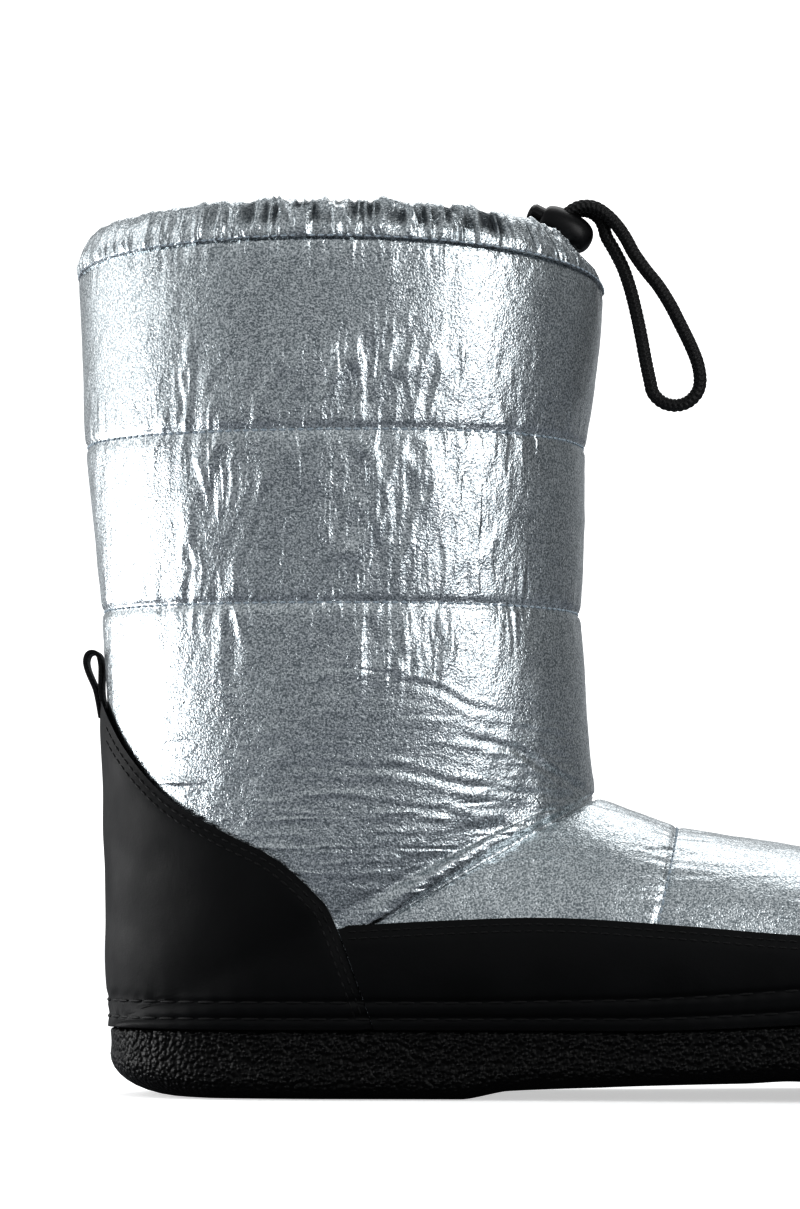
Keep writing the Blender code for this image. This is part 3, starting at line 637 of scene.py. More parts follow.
def silver_foil():
    """Metal foil laminated to nylon: bright, broken by a sparkling grain, with crisp small crinkles.

    The grain is drawn coarser than a real pigment, so that it shows in the render. Deep folds get a painted
    shade: their colour is darkened towards a dark grey.
    """
    made, add, place = start_material("silver_foil_fabric")
    grain_size, net_size, crinkle_size = 0.5 * MM, 1.5 * MM, 3.6 * MM
    break_size, cloud_size = 9 * MM, 11 * MM
    shaft_start, shaft_whole = 104 * MM, 122 * MM
    grain = add("TexNoise", {"Vector": place, "Scale": 1 / grain_size, "Detail": 1.0})
    open_foil = two_tone(add, grain, 0.36, 0.64, "#99a1a5", "#f4f9fb")
    # Painted shade: where a piece marks its folds, the foil's colour is mixed towards a dark grey
    folded = add("Attribute", attribute_name="folded").outputs["Fac"]
    colour = add("Mix", {0: folded, 6: open_foil, 7: linear("#3c4246")}, data_type="RGBA")
    clouds = add("TexNoise", {"Vector": place, "Scale": 1 / cloud_size, "Detail": 3.0})
    rough = add("MapRange", spread(0.3, 0.7, clouds, 0.25, 0.33))
    across, lengthways = 1 / crinkle_size, 1 / (5 * crinkle_size)
    crinkles = []
    for stretch in ((across, across, lengthways), (lengthways, lengthways, across)):
        turned = add("Mapping", {"Vector": place, "Scale": stretch})
        ridged = {"Vector": turned, "Scale": 1.0, "Detail": 1.0, "Roughness": 0.4, "Distortion": 0.6}
        crinkles.append(add("TexNoise", ridged, noise_type="RIDGED_MULTIFRACTAL"))
    height = add("SeparateXYZ", {"Vector": place}).outputs["Z"]
    on_shaft = add("MapRange", spread(shaft_start, shaft_whole, height))
    crinkle = add("Mix", {0: on_shaft, 2: crinkles[1], 3: crinkles[0]})
    breaks = add("TexNoise", {"Vector": place, "Scale": 1 / break_size, "Detail": 1.0})
    whole = add("MapRange", spread(0.24, 0.46, breaks))
    crumpled = add("Attribute", attribute_name="crinkle").outputs["Fac"]
    marked = add("Math", {0: crumpled, 1: whole}, operation="MULTIPLY")
    strength = add("MapRange", spread(0, 0.8, marked, 0.02, 1.0))
    net = add("TexNoise", {"Vector": place, "Scale": 1 / net_size, "Detail": 1.0, "Distortion": 0.8})
    knit = add("MapRange", spread(0, 0.8, crumpled, 0.35, 0.8))
    netted = add("Bump", {"Height": net, "Distance": 0.25 * MM, "Strength": knit})
    crumple = add("Bump", {"Height": crinkle, "Distance": 1.0 * MM, "Strength": strength, "Normal": netted})
    normal = add("Bump", {"Height": grain, "Distance": 0.2 * MM, "Strength": 0.7, "Normal": crumple})
    finish_material(add, {"Base Color": colour, "Metallic": 1.0, "Roughness": rough, "Normal": normal})
    return made


def smooth_leather():
    """Finished cowhide: near black, satin, with a fine pore grain and a faint unevenness of the hide."""
    made, add, place = start_material("black_leather")
    pore_size, hide_size = 0.8 * MM, 16 * MM
    hide = add("TexNoise", {"Vector": place, "Scale": 1 / hide_size, "Detail": 3.0})
    pores = add("TexNoise", {"Vector": place, "Scale": 1 / pore_size, "Detail": 3.0, "Roughness": 0.6})
    colour = two_tone(add, hide, 0.3, 0.7, "#08090a", "#101113")
    rough = add("MapRange", spread(0.3, 0.7, hide, 0.55, 0.66))
    soft = add("Bump", {"Height": hide, "Distance": 1.2 * MM, "Strength": 0.3})
    normal = add("Bump", {"Height": pores, "Distance": 0.1 * MM, "Strength": 0.5, "Normal": soft})
    surface = {"Base Color": colour, "Roughness": rough, "Specular IOR Level": 0.32, "Normal": normal}
    finish_material(add, surface)
    return made


def pebbled_rubber():
    """Moulded rubber: black and dull, its side covered in small round pebbles."""
    made, add, place = start_material("black_rubber")
    pebble_size, skin_size = 1.2 * MM, 0.45 * MM
    pebbles = {"Vector": place, "Scale": 1 / pebble_size, "Smoothness": 0.6}
    pebbles = add("TexVoronoi", pebbles, feature="SMOOTH_F1")
    skin = add("TexNoise", {"Vector": place, "Scale": 1 / skin_size, "Detail": 2.0})
    # Painted shade: the rubber is a little darker in the hollows between the pebbles than on their tops
    colour = two_tone(add, pebbles, 0.1, 0.7, "#080809", "#020202")
    rough = add("MapRange", spread(0.3, 0.7, skin, 0.36, 0.52))
    raised = add("MapRange", spread(0.0, 0.8, pebbles, 1.0, 0.0))
    moulded = add("Bump", {"Height": raised, "Distance": 0.8 * MM, "Strength": 1.0})
    normal = add("Bump", {"Height": skin, "Distance": 0.06 * MM, "Strength": 0.5, "Normal": moulded})
    surface = {"Base Color": colour, "Roughness": rough, "Specular IOR Level": 0.3, "Normal": normal}
    finish_material(add, surface)
    return made


def bonded_thread(name, dark, light):
    """Bonded polyester thread: dull, with the shade of its twist."""
    made, add, place = start_material(name)
    twist = add("TexNoise", {"Vector": place, "Scale": 1 / (0.4 * MM), "Detail": 2.0})
    colour = two_tone(add, twist, 0.35, 0.65, dark, light)
    normal = add("Bump", {"Height": twist, "Distance": 0.15 * MM, "Strength": 0.7})
    finish_material(add, {"Base Color": colour, "Roughness": 0.62, "Normal": normal})
    return made


def pile_fleece():
    """Polyester pile: light grey and soft, in small tufts that shade each other."""
    made, add, place = start_material("grey_felt")
    tuft_size, lay_size = 2.2 * MM, 20 * MM
    tuft = add("TexNoise", {"Vector": place, "Scale": 1 / tuft_size, "Detail": 4.0, "Roughness": 0.65})
    lay = add("TexNoise", {"Vector": place, "Scale": 1 / lay_size, "Detail": 2.0})
    colour = two_tone(add, tuft, 0.3, 0.7, "#6c6d70", "#b9babd")
    laid = add("Bump", {"Height": lay, "Distance": 2 * MM, "Strength": 0.4})
    normal = add("Bump", {"Height": tuft, "Distance": 1.2 * MM, "Strength": 0.9, "Normal": laid})
    sheen = {"Sheen Weight": 0.4, "Sheen Roughness": 0.5}
    finish_material(add, {"Base Color": colour, "Roughness": 0.95, "Normal": normal, **sheen})
    return made


def braided_polyester():
    """Braided polyester cord: black, dull, with fine fibres in each strand."""
    made, add, place = start_material("black_braid")
    fibre = add("TexNoise", {"Vector": place, "Scale": 1 / (0.35 * MM), "Detail": 2.0})
    colour = two_tone(add, fibre, 0.35, 0.65, "#050505", "#1e1e1f")
    normal = add("Bump", {"Height": fibre, "Distance": 0.12 * MM, "Strength": 0.6})
    finish_material(add, {"Base Color": colour, "Roughness": 0.5, "Sheen Weight": 0.1, "Normal": normal})
    return made


# A wave texture of scale 1 repeats at this distance
WAVE_REPEAT = 0.31


def woven_tape():
    """Nylon tape: black, with ribs across its length."""
    made, add, place = start_material("black_webbing")
    rib = {"Vector": place, "Scale": WAVE_REPEAT / (1.1 * MM), "Distortion": 0.6}
    rib = add("TexWave", rib, bands_direction="Z")
    fibre = add("TexNoise", {"Vector": place, "Scale": 1 / (0.4 * MM), "Detail": 2.0})
    colour = two_tone(add, fibre, 0.3, 0.7, "#080808", "#171718")
    ribbed = add("Bump", {"Height": rib, "Distance": 0.12 * MM, "Strength": 0.6})
    normal = add("Bump", {"Height": fibre, "Distance": 0.08 * MM, "Strength": 0.5, "Normal": ribbed})
    finish_material(add, {"Base Color": colour, "Roughness": 0.5, "Normal": normal})
    return made


def moulded_acetal():
    """Moulded acetal: black and satin, with the faint skin of a spark-worn mould."""
    made, add, place = start_material("black_plastic")
    skin = add("TexNoise", {"Vector": place, "Scale": 1 / (0.4 * MM), "Detail": 2.0})
    colour = two_tone(add, skin, 0.3, 0.7, "#0d0d0e", "#151517")
    rough = add("MapRange", spread(0.3, 0.7, skin, 0.34, 0.44))
    normal = add("Bump", {"Height": skin, "Distance": 0.04 * MM, "Strength": 0.5})
    finish_material(add, {"Base Color": colour, "Roughness": rough, "IOR": 1.48, "Normal": normal})
    return made


FOIL = silver_foil()
LEATHER = smooth_leather()
RUBBER = pebbled_rubber()
BLACK_THREAD = bonded_thread("black_thread", "#0a0a0a", "#1a1a1b")
SILVER_THREAD = bonded_thread("silver_thread", "#8f9ca6", "#c3ced6")
FLEECE = pile_fleece()
BRAID = braided_polyester()
TAPE = woven_tape()
PLASTIC = moulded_acetal()


# Camera: low in front of the outer side, as the photograph, which cuts the toe off

CAMERA_AT = Vector((128.4, -1150, 55)) * MM
CAMERA_AIM = Vector((79.2, 0, 133.7)) * MM
FRAME_HEIGHT = 332.5 * MM
# The pixel straight ahead of the camera, across the boot, and a pixel's size on the near side
EYE_PIXEL = (579, 890.6)
PIXEL = 0.264 * MM


def add_camera():
    """The camera, its lens set so that the frame's height is seen at the aim."""
    data = bpy.data.cameras.new("camera")
    camera = bpy.data.objects.new("camera", data)
    bpy.context.scene.collection.objects.link(camera)
    sight = CAMERA_AIM - CAMERA_AT
    camera.location = CAMERA_AT + HEEL
    camera.rotation_euler = sight.to_track_quat("-Z", "Y").to_euler()
    data.sensor_fit = "VERTICAL"
    data.sensor_height = 36
    data.lens = data.sensor_height * sight.length / FRAME_HEIGHT
    data.clip_start = 0.01
    bpy.context.scene.camera = camera


# Drawcord


def in_hole(side, height):
    """A point on the axis of the lock's outer or inner cord hole, at a height over the lock's middle."""
    place = Vector((CORD_HOLE_AT, side * STRAND_PITCH / 2, height))
    return LOCK_CENTRE + Matrix.Rotation(LOCK_PITCH, 3, "Y") @ place


def cord_route(count):
    """Centreline of the drawcord, from the outer strand's foot on the collar to the inner strand's foot."""
    outer, inner = ([in_hole(side, height) for height in (-LOCK_HEIGHT / 2, 0)] for side in (-1, 1))
    return smooth_polyline(np.vstack([outer, np.array(LOOP_ROUTE) * MM, inner[::-1]]), count)


def carried_frames(route):
    """Two directions across a route at each of its points, carried along it without twist."""
    tangent = np.gradient(route, axis=0)
    tangent /= np.linalg.norm(tangent, axis=1)[:, None]
    side = np.cross(tangent[0], (0, 1, 0))
    sides = []
    for direction in tangent:
        side = side - direction * (side @ direction)
        side = side / np.linalg.norm(side)
        sides.append(side)
    sides = np.array(sides)
    return sides, np.cross(tangent, sides)


def make_cord():
    """Braided drawcord: a tube whose surface is plaited from strands that cross both ways round it."""
    steps, around = 560, 33
    route = cord_route(steps)
    side, up = carried_frames(route)
    turn = np.linspace(0, 2 * math.pi, around)
    length = np.linalg.norm(np.diff(route, axis=0), axis=1).sum()
    along = np.linspace(0, length / CORD * 2.6, steps)[:, None]
    left, right = np.cos(4 * turn + 2 * math.pi * along), np.cos(4 * turn - 2 * math.pi * along)
    weave = np.maximum(left, right)
    radius = CORD / 2 * (0.89 + 0.14 * weave)
    grid = route[:, None] + radius[..., None] * (
        np.cos(turn)[None, :, None] * side[:, None] + np.sin(turn)[None, :, None] * up[:, None]
    )
    bm = grid_bmesh(grid)
    bmesh.ops.holes_fill(bm, edges=bm.edges, sides=around)
    bmesh.ops.recalc_face_normals(bm, faces=bm.faces)
    cord = settle(new_object("cord", bm, BRAID), "boot", "black_braid", "drawcord")
    path = cord_route(120) + np.array(HEEL)


# Upper


def near_side(pixels):
    """Points that were read off the photograph on the near side, as along and height in metres."""
    right, down = (np.array(pixels, float) - EYE_PIXEL).T
    return np.column_stack([CAMERA_AT.x + right * PIXEL, CAMERA_AT.z - down * PIXEL])


# Folds round the ankle, as pixels of the photograph, with their depth and half width in millimetres
Fold = namedtuple("Fold", "depth wide pixels")
ANKLE_FOLDS = [
    Fold(0.3, 0.83, [(385, 676), (406, 682), (440, 690), (470, 707), (508, 712)]),
    Fold(0.28, 0.9, [(270, 764), (330, 767), (399, 769), (432, 778), (475, 787), (540, 793), (588, 797)]),
    Fold(0.23, 0.75, [(312, 798), (370, 803), (432, 810), (464, 812)]),
    Fold(0.23, 0.75, [(406, 835), (475, 827), (540, 822)]),
    Fold(0.2, 0.7, [(399, 859), (440, 856), (492, 857)]),
    Fold(0.2, 0.75, [(323, 882), (380, 880), (453, 882)]),
    Fold(0.4, 0.98, [(460, 735), (479, 741), (514, 747), (540, 765), (592, 793)]),
    Fold(0.17, 0.75, [(180, 746), (240, 752), (300, 744)]),
    Fold(0.17, 0.75, [(205, 826), (270, 836), (330, 848), (380, 840)]),
    Fold(0.15, 0.7, [(225, 776), (250, 775), (275, 781)]),
]

# Patches of small crinkles on the shaft: middle and half sizes, as pixels of the photograph
Patch = namedtuple("Patch", "x y wide tall")
SHAFT_CRINKLES = [
    Patch(375, 378, 105, 55),
    Patch(187, 395, 12, 60),
    Patch(150, 420, 8, 40),
    Patch(390, 505, 105, 80),
    Patch(185, 520, 8, 70),
    Patch(225, 480, 40, 40),
    Patch(385, 650, 90, 45),
    Patch(225, 650, 14, 60),
]
SHAFT_MIDDLE = 62 * MM
RELIEF_BLEND = 14 * MM


def upper_relief(grid, rows):
    """How far the padded foil stands out at each point, in metres, and its small crinkling, from 0 to 1."""
    x, z = grid[..., 0] / MM, grid[..., 2] / MM
    outer = grid[..., 1] < 0
    columns = grid.shape[1]
    climb = np.cumsum(np.linalg.norm(np.diff(grid, axis=0, prepend=grid[:1]), axis=2), axis=0) / MM
    girth = np.cumsum(np.linalg.norm(np.diff(grid, axis=1, prepend=grid[:, :1]), axis=2), axis=1) / MM
    girth = girth - girth[:, columns // 2][:, None]
    relief = np.zeros(x.shape)
    crinkled = np.zeros(x.shape)

    # Seams: a groove, a fuller pad over the ankle seam, puckers and tucks
    tucks_here = 0.4 + 0.6 * np.exp(-np.abs((x - 76) / 38) ** 3)
    for seed, (row, depth) in enumerate(SEAMS.items()):
        seam = np.array([np.interp(row, rows, climb[:, column]) for column in range(columns)])
        away = climb - seam
        apart = np.abs(away)
        relief -= depth * np.exp(-apart / 1.6) + 0.6 * hump(apart, 0.8)
        if row == ANKLE_SEAM_ROW:
            over = np.clip(away, 0, None)
            full = np.clip((x - 72) / 14, 0, 1) * np.clip((127 - x) / 10, 0, 1)
            hollow = 1.7 * (away > 0) * hump(over - 6.5, 4.5)
            relief += full * (hollow + 1.3 * (1 - np.exp(-over)) * np.exp(-over / 20))
            relief += np.where(away > 0, 0.3, -0.5) * np.exp(-apart / np.where(away > 0, 2.0, 5.0))
        pucker = lattice_noise(girth / 3.4, away / 16 + 7, 11 + seed)
        pucker += 0.7 * lattice_noise(girth / 1.9, away / 9 + 3, 31 + seed)
        reach = 3 + 7 * lattice_noise(girth / 15, away * 0 + seed, 41)
        relief += 0.6 * (pucker - 0.85) * np.exp(-apart / reach) * (1 - np.exp(-apart / 0.9))
        tucked = np.where(away > 0, 7 + 17 * lattice_noise(girth / 11, away * 0 + seed, 45), 1.2 * reach)
        crinkled = np.maximum(crinkled, tucks_here * hump(apart, tucked))

    # Upright creases in patches of the shaft, and its broad unevenness
    bent = girth + 3 * lattice_noise(girth / 12, z / 10, 8)
    upright = ridges(bent / 5.2, z / 26, 6, 4) + 0.6 * ridges(bent / 3.6 + 9, z / 15, 7, 3)
    patched = np.zeros(x.shape)
    for patch in SHAFT_CRINKLES:
        along, height = near_side([(patch.x, patch.y)])[0] / MM
        wide, tall = patch.wide * PIXEL / MM, patch.tall * PIXEL / MM
        for side, middle in ((True, along), (False, 2 * SHAFT_MIDDLE / MM - along)):
            away = ((x - middle) / wide) ** 2 + ((z - height) / tall) ** 2
            patched = np.maximum(patched, np.exp(-(away**1.5)) * (outer == side))
    relief += 0.9 * patched * (upright - 0.4)
    crinkled = np.maximum(crinkled, patched)
    shaft = np.clip((z - 95) / 25, 0, 1)
    relief += shaft * 0.4 * (lattice_noise(girth / 26, z / 46, 9) - 0.5)

    # Level creases round the ankle
    ankle = np.exp(-np.abs((z - 78) / 26) ** 3) * np.clip((134 - x) / 14, 0, 1)
    drift = z + 2.5 * lattice_noise(x / 18, z / 14, 14)
    level = ridges(x / 21 + 2, drift / 3.4, 15, 5) + 0.6 * ridges(x / 12, drift / 2.2 + 5, 16, 4)
    relief += ankle * (0.1 * (level - 0.4) * (0.4 + lattice_noise(x / 20, z / 16, 17)))
    crinkled = np.maximum(crinkled, ankle * (0.35 + 0.5 * lattice_noise(x / 24, z / 15, 19)))
    relief += ankle * 0.12 * (lattice_noise(x / 34, z / 13, 18) - 0.5)

    # Small unevenness everywhere
    relief += 0.2 * (lattice_noise(girth / 6, climb / 6, 21) - 0.5)
    relief += 0.12 * (lattice_noise(girth / 2.4, climb / 2.4, 22) - 0.5)

    # Folds round the ankle, those of the inner side a little displaced
    for number, fold in enumerate(ANKLE_FOLDS):
        line = even_polyline(near_side(fold.pixels), 14) / MM
        shift = np.array([2.5 * math.sin(number), 3.5 * math.cos(2 * number)])
        for side, moved in ((True, line), (False, line + shift)):
            distance, share = near_polyline(x, z, moved)
            taper = np.sin(math.pi * share.clip(0.02, 0.98)) ** 0.5
            dent = 0.6 * hump(distance - 2 * fold.wide, 1.2 * fold.wide) - hump(distance, fold.wide)
            relief += fold.depth * dent * taper * (outer == side)

    # The two sides meet alike at the back, and the relief fades out over the sole
    at_back = np.clip(1 - (np.abs(girth[:, :1]) - np.abs(girth)) / (RELIEF_BLEND / MM), 0, 1)
    relief += at_back * ((relief + relief[:, ::-1]) / 2 - relief)
    above = np.clip((grid[..., 2] - sole_top(grid[..., 0])) / MM / 12, 0, 1)
    vamp = np.clip((x - 128) / 14, 0, 1) * 0.25
    return relief * MM * (0.1 + 0.9 * above), np.maximum(crinkled, vamp)


def closed_back_normals(grid, rows):
    """Normals of the upper, with one direction for both ends of a row where they meet at the back."""
    normals = grid_normals(grid)
    met = np.asarray(rows) > HEEL_EDGE_ROW
    mean = normals[met, 0] + normals[met, -1]
    mean /= np.linalg.norm(mean, axis=1)[:, None]
    normals[met, 0] = mean
    normals[met, -1] = mean
    return normals


def two_sheets(outer, inner, rows, wanted=None, **amounts):
    """An outer and an inner grid as one closed form, with any amounts on the outer one.

    Each is joined to itself at the back and to the other at its rims.
    """
    bm = bmesh.new()
    count, columns = outer.shape[:2]
    wanted = np.ones((count, columns), bool) if wanted is None else wanted
    met = [row * columns for row in np.flatnonzero((rows > HEEL_EDGE_ROW) & wanted[:, 0])]
    spare = np.flatnonzero(~wanted.reshape(-1))
    sheets = []
    for grid, values in ((outer, amounts), (inner, {})):
        verts = add_sheet(bm, grid, **values)
        joined = {verts[first + columns - 1]: verts[first] for first in met}
        gone = {verts[k] for k in spare}
        sheets.append([None if vert in gone else joined.get(vert, vert) for vert in verts])
        bmesh.ops.weld_verts(bm, targetmap=joined)
        bmesh.ops.delete(bm, geom=list(gone), context="VERTS")
    partner = {outside: inside for outside, inside in zip(*sheets) if outside}
    for side in [side for side in bm.edges if side.is_boundary and side.verts[0] in partner]:
        first, second = side.verts
        bm.faces.new((first, second, partner[second], partner[first]))
    bmesh.ops.recalc_face_normals(bm, faces=bm.faces)
    return bm


def make_upper():
    """Quilted padded shell, closed on its inner side, and the pile lining inside it."""
    rows = even_rows(0, COLLAR_ROW, UPPER_ROWS)
    grid = upper_grid(rows, UPPER_COLUMNS)
    relief, crinkled = upper_relief(grid, rows)
    outside = grid + closed_back_normals(grid, rows) * relief[..., None]
    bm = two_sheets(outside, upper_grid(rows, UPPER_COLUMNS, SHELL_THICK), rows, crinkle=crinkled)
    shell = settle(new_object("shell", bm, FOIL), "boot", "silver_foil_fabric", "upper")
    make_quilt_stitches(shell)

    rows = even_rows(0, COLLAR_ROW, 150)
    inside = upper_grid(rows, 200, WALL)
    x, y, z = (inside[..., axis] / MM for axis in range(3))
    tufts = lattice_noise(x / 3 + y / 2.4, z / 2.7 + y / 5, 43)
    tufts += 0.5 * lattice_noise(x / 1.6 - y / 1.5, z / 1.4, 44)
    pile = inside - closed_back_normals(inside, rows) * ((tufts - 0.75) * 1.1 * MM)[..., None]
    bm = two_sheets(upper_grid(rows, 200, SHELL_THICK + 0.3 * MM), pile, rows)
    settle(new_object("pile_lining", bm, FLEECE), "boot", "grey_felt")


def make_footbed():
    """Pile footbed on the sole inside the lining: a crowned pad with a rounded edge."""
    edge = sole_outline(INSOLE_INSET, 720)
    toe = edge[:, 0].argmax()
    outer, inner = edge[: toe + 1], np.vstack([edge[toe:], edge[:1]])[::-1]
    ends = edge[0, 0], edge[toe, 0]
    along = ends[0] + (ends[1] - ends[0]) * (1 - np.cos(np.linspace(0, math.pi, 150))) / 2
    low, high = (np.interp(along, half[:, 0], half[:, 1]) for half in (outer, inner))
    middle, half = (low + high) / 2, np.maximum((high - low) / 2, 0.05 * MM)
    rim = np.minimum(half, FOOTBED_EDGE)
    turn = np.linspace(0, math.pi, 8)[1:]
    section = [(share, 0, 1) for share in np.linspace(-1, 1, 40)]
    section += [(1, math.sin(angle), (1 + math.cos(angle)) / 2) for angle in turn]
    section += [(share, 0, 0) for share in np.linspace(1, -1, 8)[1:]]
    section += [(-1, -math.sin(angle), (1 - math.cos(angle)) / 2) for angle in turn]
    lines = []
    for share, out, tall in section:
        across = middle + share * (half - rim) + out * rim
        tufts = lattice_noise(along / MM / 2.6, across / MM / 2.6, 45) - 0.5
        crown = (0.9 * (1 - share**2) * (tall == 1) + 0.7 * tufts * tall) * MM
        height = sole_top(along) + SEAT_GAP + INSOLE_THICK * tall + crown
        lines.append(np.column_stack([along, across, height]))
    bm = grid_bmesh(np.array(lines).transpose(1, 0, 2))
    bmesh.ops.holes_fill(bm, edges=bm.edges, sides=len(section))
    bmesh.ops.recalc_face_normals(bm, faces=bm.faces)
    footbed = settle(new_object("footbed", bm, FLEECE), "boot", "grey_felt", "insole")


# Leather


def side_prism(outline):
    """A cutter: an outline in side view, extruded right across the boot."""
    bm = bmesh.new()
    across = 80 * MM
    verts = [bm.verts.new(Vector((along, -across, height)) + HEEL) for along, height in outline]
    face = bm.faces.new(verts)
    made = bmesh.ops.extrude_face_region(bm, geom=[face])
    moved = [item for item in made["geom"] if isinstance(item, bmesh.types.BMVert)]
    bmesh.ops.translate(bm, verts=moved, vec=(0, 2 * across, 0))
    bmesh.ops.recalc_face_normals(bm, faces=bm.faces)
    return new_object("outline_cutter", bm, LEATHER, False)


def ledge_line(start, end):
    """The ledge just under the leather, in side view."""
    return [(along, float(sole_top(along)) + LEATHER_GAP) for along in np.linspace(start, end, 40)]


def counter_edge(count=120):
    """The counter's front edge in side view, from its top at the heel down to the ledge."""
    edge = smooth_polyline(np.array(COUNTER_EDGE) * MM, count)
    ledge = SOLE_SIDE + LEATHER_GAP
    foot = (float(np.interp(ledge, edge[::-1, 1], edge[::-1, 0])), ledge)
    return np.array([*edge[edge[:, 1] > ledge], foot])


def mudguard_top(count=120):
    """The mudguard's upper edge in side view, from the heel to the toe."""
    return smooth_polyline(np.array(MUDGUARD_EDGE) * MM, count)


def counter_outline():
    """The counter in side view, open behind the heel."""
    edge = counter_edge()
    behind = -20 * MM
    return [(behind, edge[0][1]), *map(tuple, edge), (behind, edge[-1][1])]


def mudguard_outline():
    """The mudguard in side view, from the counter's edge to beyond the toe."""
    front = 290 * MM
    top = mudguard_top()
    start = counter_edge() + np.array([SEAT_GAP, 0])
    start = start[start[:, 1] < top[0][1]]
    top = top[top[:, 0] > start[0][0] + 1 * MM]
    return [*map(tuple, start[::-1]), *map(tuple, top), *ledge_line(front, start[-1][0] + 1 * MM)]


def band_heights(along):
    """Heights over the ledge of the two rows of stitches that hold the leather to the sole."""
    share = np.clip((along / MM - 100) / 89, 0, 1)
    return (3.3 + 0.5 * share) * MM, (7.7 + 1.9 * share) * MM


# Where a leather piece is cut from: its back, front and top
Reach = namedtuple("Reach", "back front top")
COUNTER_REACH = Reach(-20 * MM, 85 * MM, 118 * MM)
MUDGUARD_REACH = Reach(55 * MM, 300 * MM, 56 * MM)


def make_leather(name, node, outline, edge, thickness, reach):
    """A leather overlay, softly puffed between its rows of stitches and rolled at its cut edge."""
    rows = even_rows(0, LOWER_STITCH_ROW, 230)
    base = upper_grid(rows, LEATHER_COLUMNS)
    x, z = base[..., 0], base[..., 2]
    wanted = (x > reach.back) & (x < reach.front) & (z < reach.top)
    outer = eased(upper_grid(rows, LEATHER_COLUMNS, -LEATHER_GAP - thickness), 24)
    inner = eased(upper_grid(rows, LEATHER_COLUMNS, -LEATHER_GAP + 0.3 * MM), 24)
    normals = grid_normals(outer)
    x, z = outer[..., 0], outer[..., 2]
    over = z - sole_top(x)
    relief = np.zeros(x.shape)
    for height in band_heights(x):
        away = (over - height) / MM
        relief -= 0.55 * hump(away, 0.9) + 0.35 * np.exp(-np.abs(away) / 2.2)
        relief += 0.18 * np.exp(-np.abs(away) / 2.5) * np.sin(2 * math.pi * x / MM / 6 + 1.2)
    distance = near_polyline(x, z, edge)[0] / MM
    relief -= 0.25 * hump(distance - 2.6, 1.6) + 1.2 * hump(distance, 2.0)
    relief += 0.5 * (lattice_noise(x / MM / 14, z / MM / 12, 51) - 0.5)
    outer = outer + normals * (relief * MM)[..., None]
    bm = two_sheets(outer, inner, rows, wanted)
    piece = new_object(name, bm, LEATHER)
    cutter = side_prism(outline)
    modifier(piece, "BOOLEAN", operation="INTERSECT", object=cutter, solver="EXACT")
    apply_modifiers(piece)
    bpy.data.objects.remove(cutter)
    piece.data.set_sharp_from_angle(angle=math.radians(40))
    return settle(piece, "boot", "black_leather", node)


# Sole


def make_outsole():
    """Rubber sole unit at a fine pitch, its side slightly uneven where the pebbling is moulded."""
    count = 480
    outline = sole_outline(0, count)
    inward = (sole_outline(0, count, 1 * MM) - outline) / (1 * MM)
    along = outline[:, 0]
    top, floor = sole_top(along), table_curve(BOTTOM_LINE, along)
    places = np.array([row.along for row in SOLE_ROUNDING]) * MM
    up = np.interp(along, places, [row.up * MM for row in SOLE_ROUNDING])
    reach = np.interp(along, places, [row.inward * MM for row in SOLE_ROUNDING])
    rings = []

    def add(inset, height):
        flat = outline + inward * np.broadcast_to(inset, along.shape)[:, None]
        rings.append(np.column_stack([flat, height]))

    add(12 * MM, top)
    add(0.9 * MM, top)
    add(0.35 * MM, top - 0.2 * MM)
    add(0, top - 0.9 * MM)
    for share in np.linspace(0, 1, 10)[1:-1]:
        add(0.25 * MM * math.sin(math.pi * share), (top - 0.9 * MM) * (1 - share) + (floor + up) * share)
    for angle in np.linspace(0, math.pi / 2, 10):
        add(reach * (1 - math.cos(angle)), floor + up * (1 - math.sin(angle)))
    bm = grid_bmesh(closed_rows(rings))
    rims = [edge for edge in bm.edges if edge.is_boundary]
    halfway = 15 * MM
    for at_top in (True, False):
        rim = [edge for edge in rims if (edge.verts[0].co.z > halfway) == at_top]
        bmesh.ops.triangle_fill(bm, use_beauty=True, edges=rim)
    bmesh.ops.recalc_face_normals(bm, faces=bm.faces)
    sole = new_object("sole_unit", bm, RUBBER)
    sole.data.set_sharp_from_angle(angle=math.radians(50))
    settle(sole, "boot", "black_rubber", "outsole")


# Collar casing


# How deep a gather of the casing lies where the foil's painted shade starts to darken to its full strength
FOLD_SHADE_DEPTH = 0.6 * MM


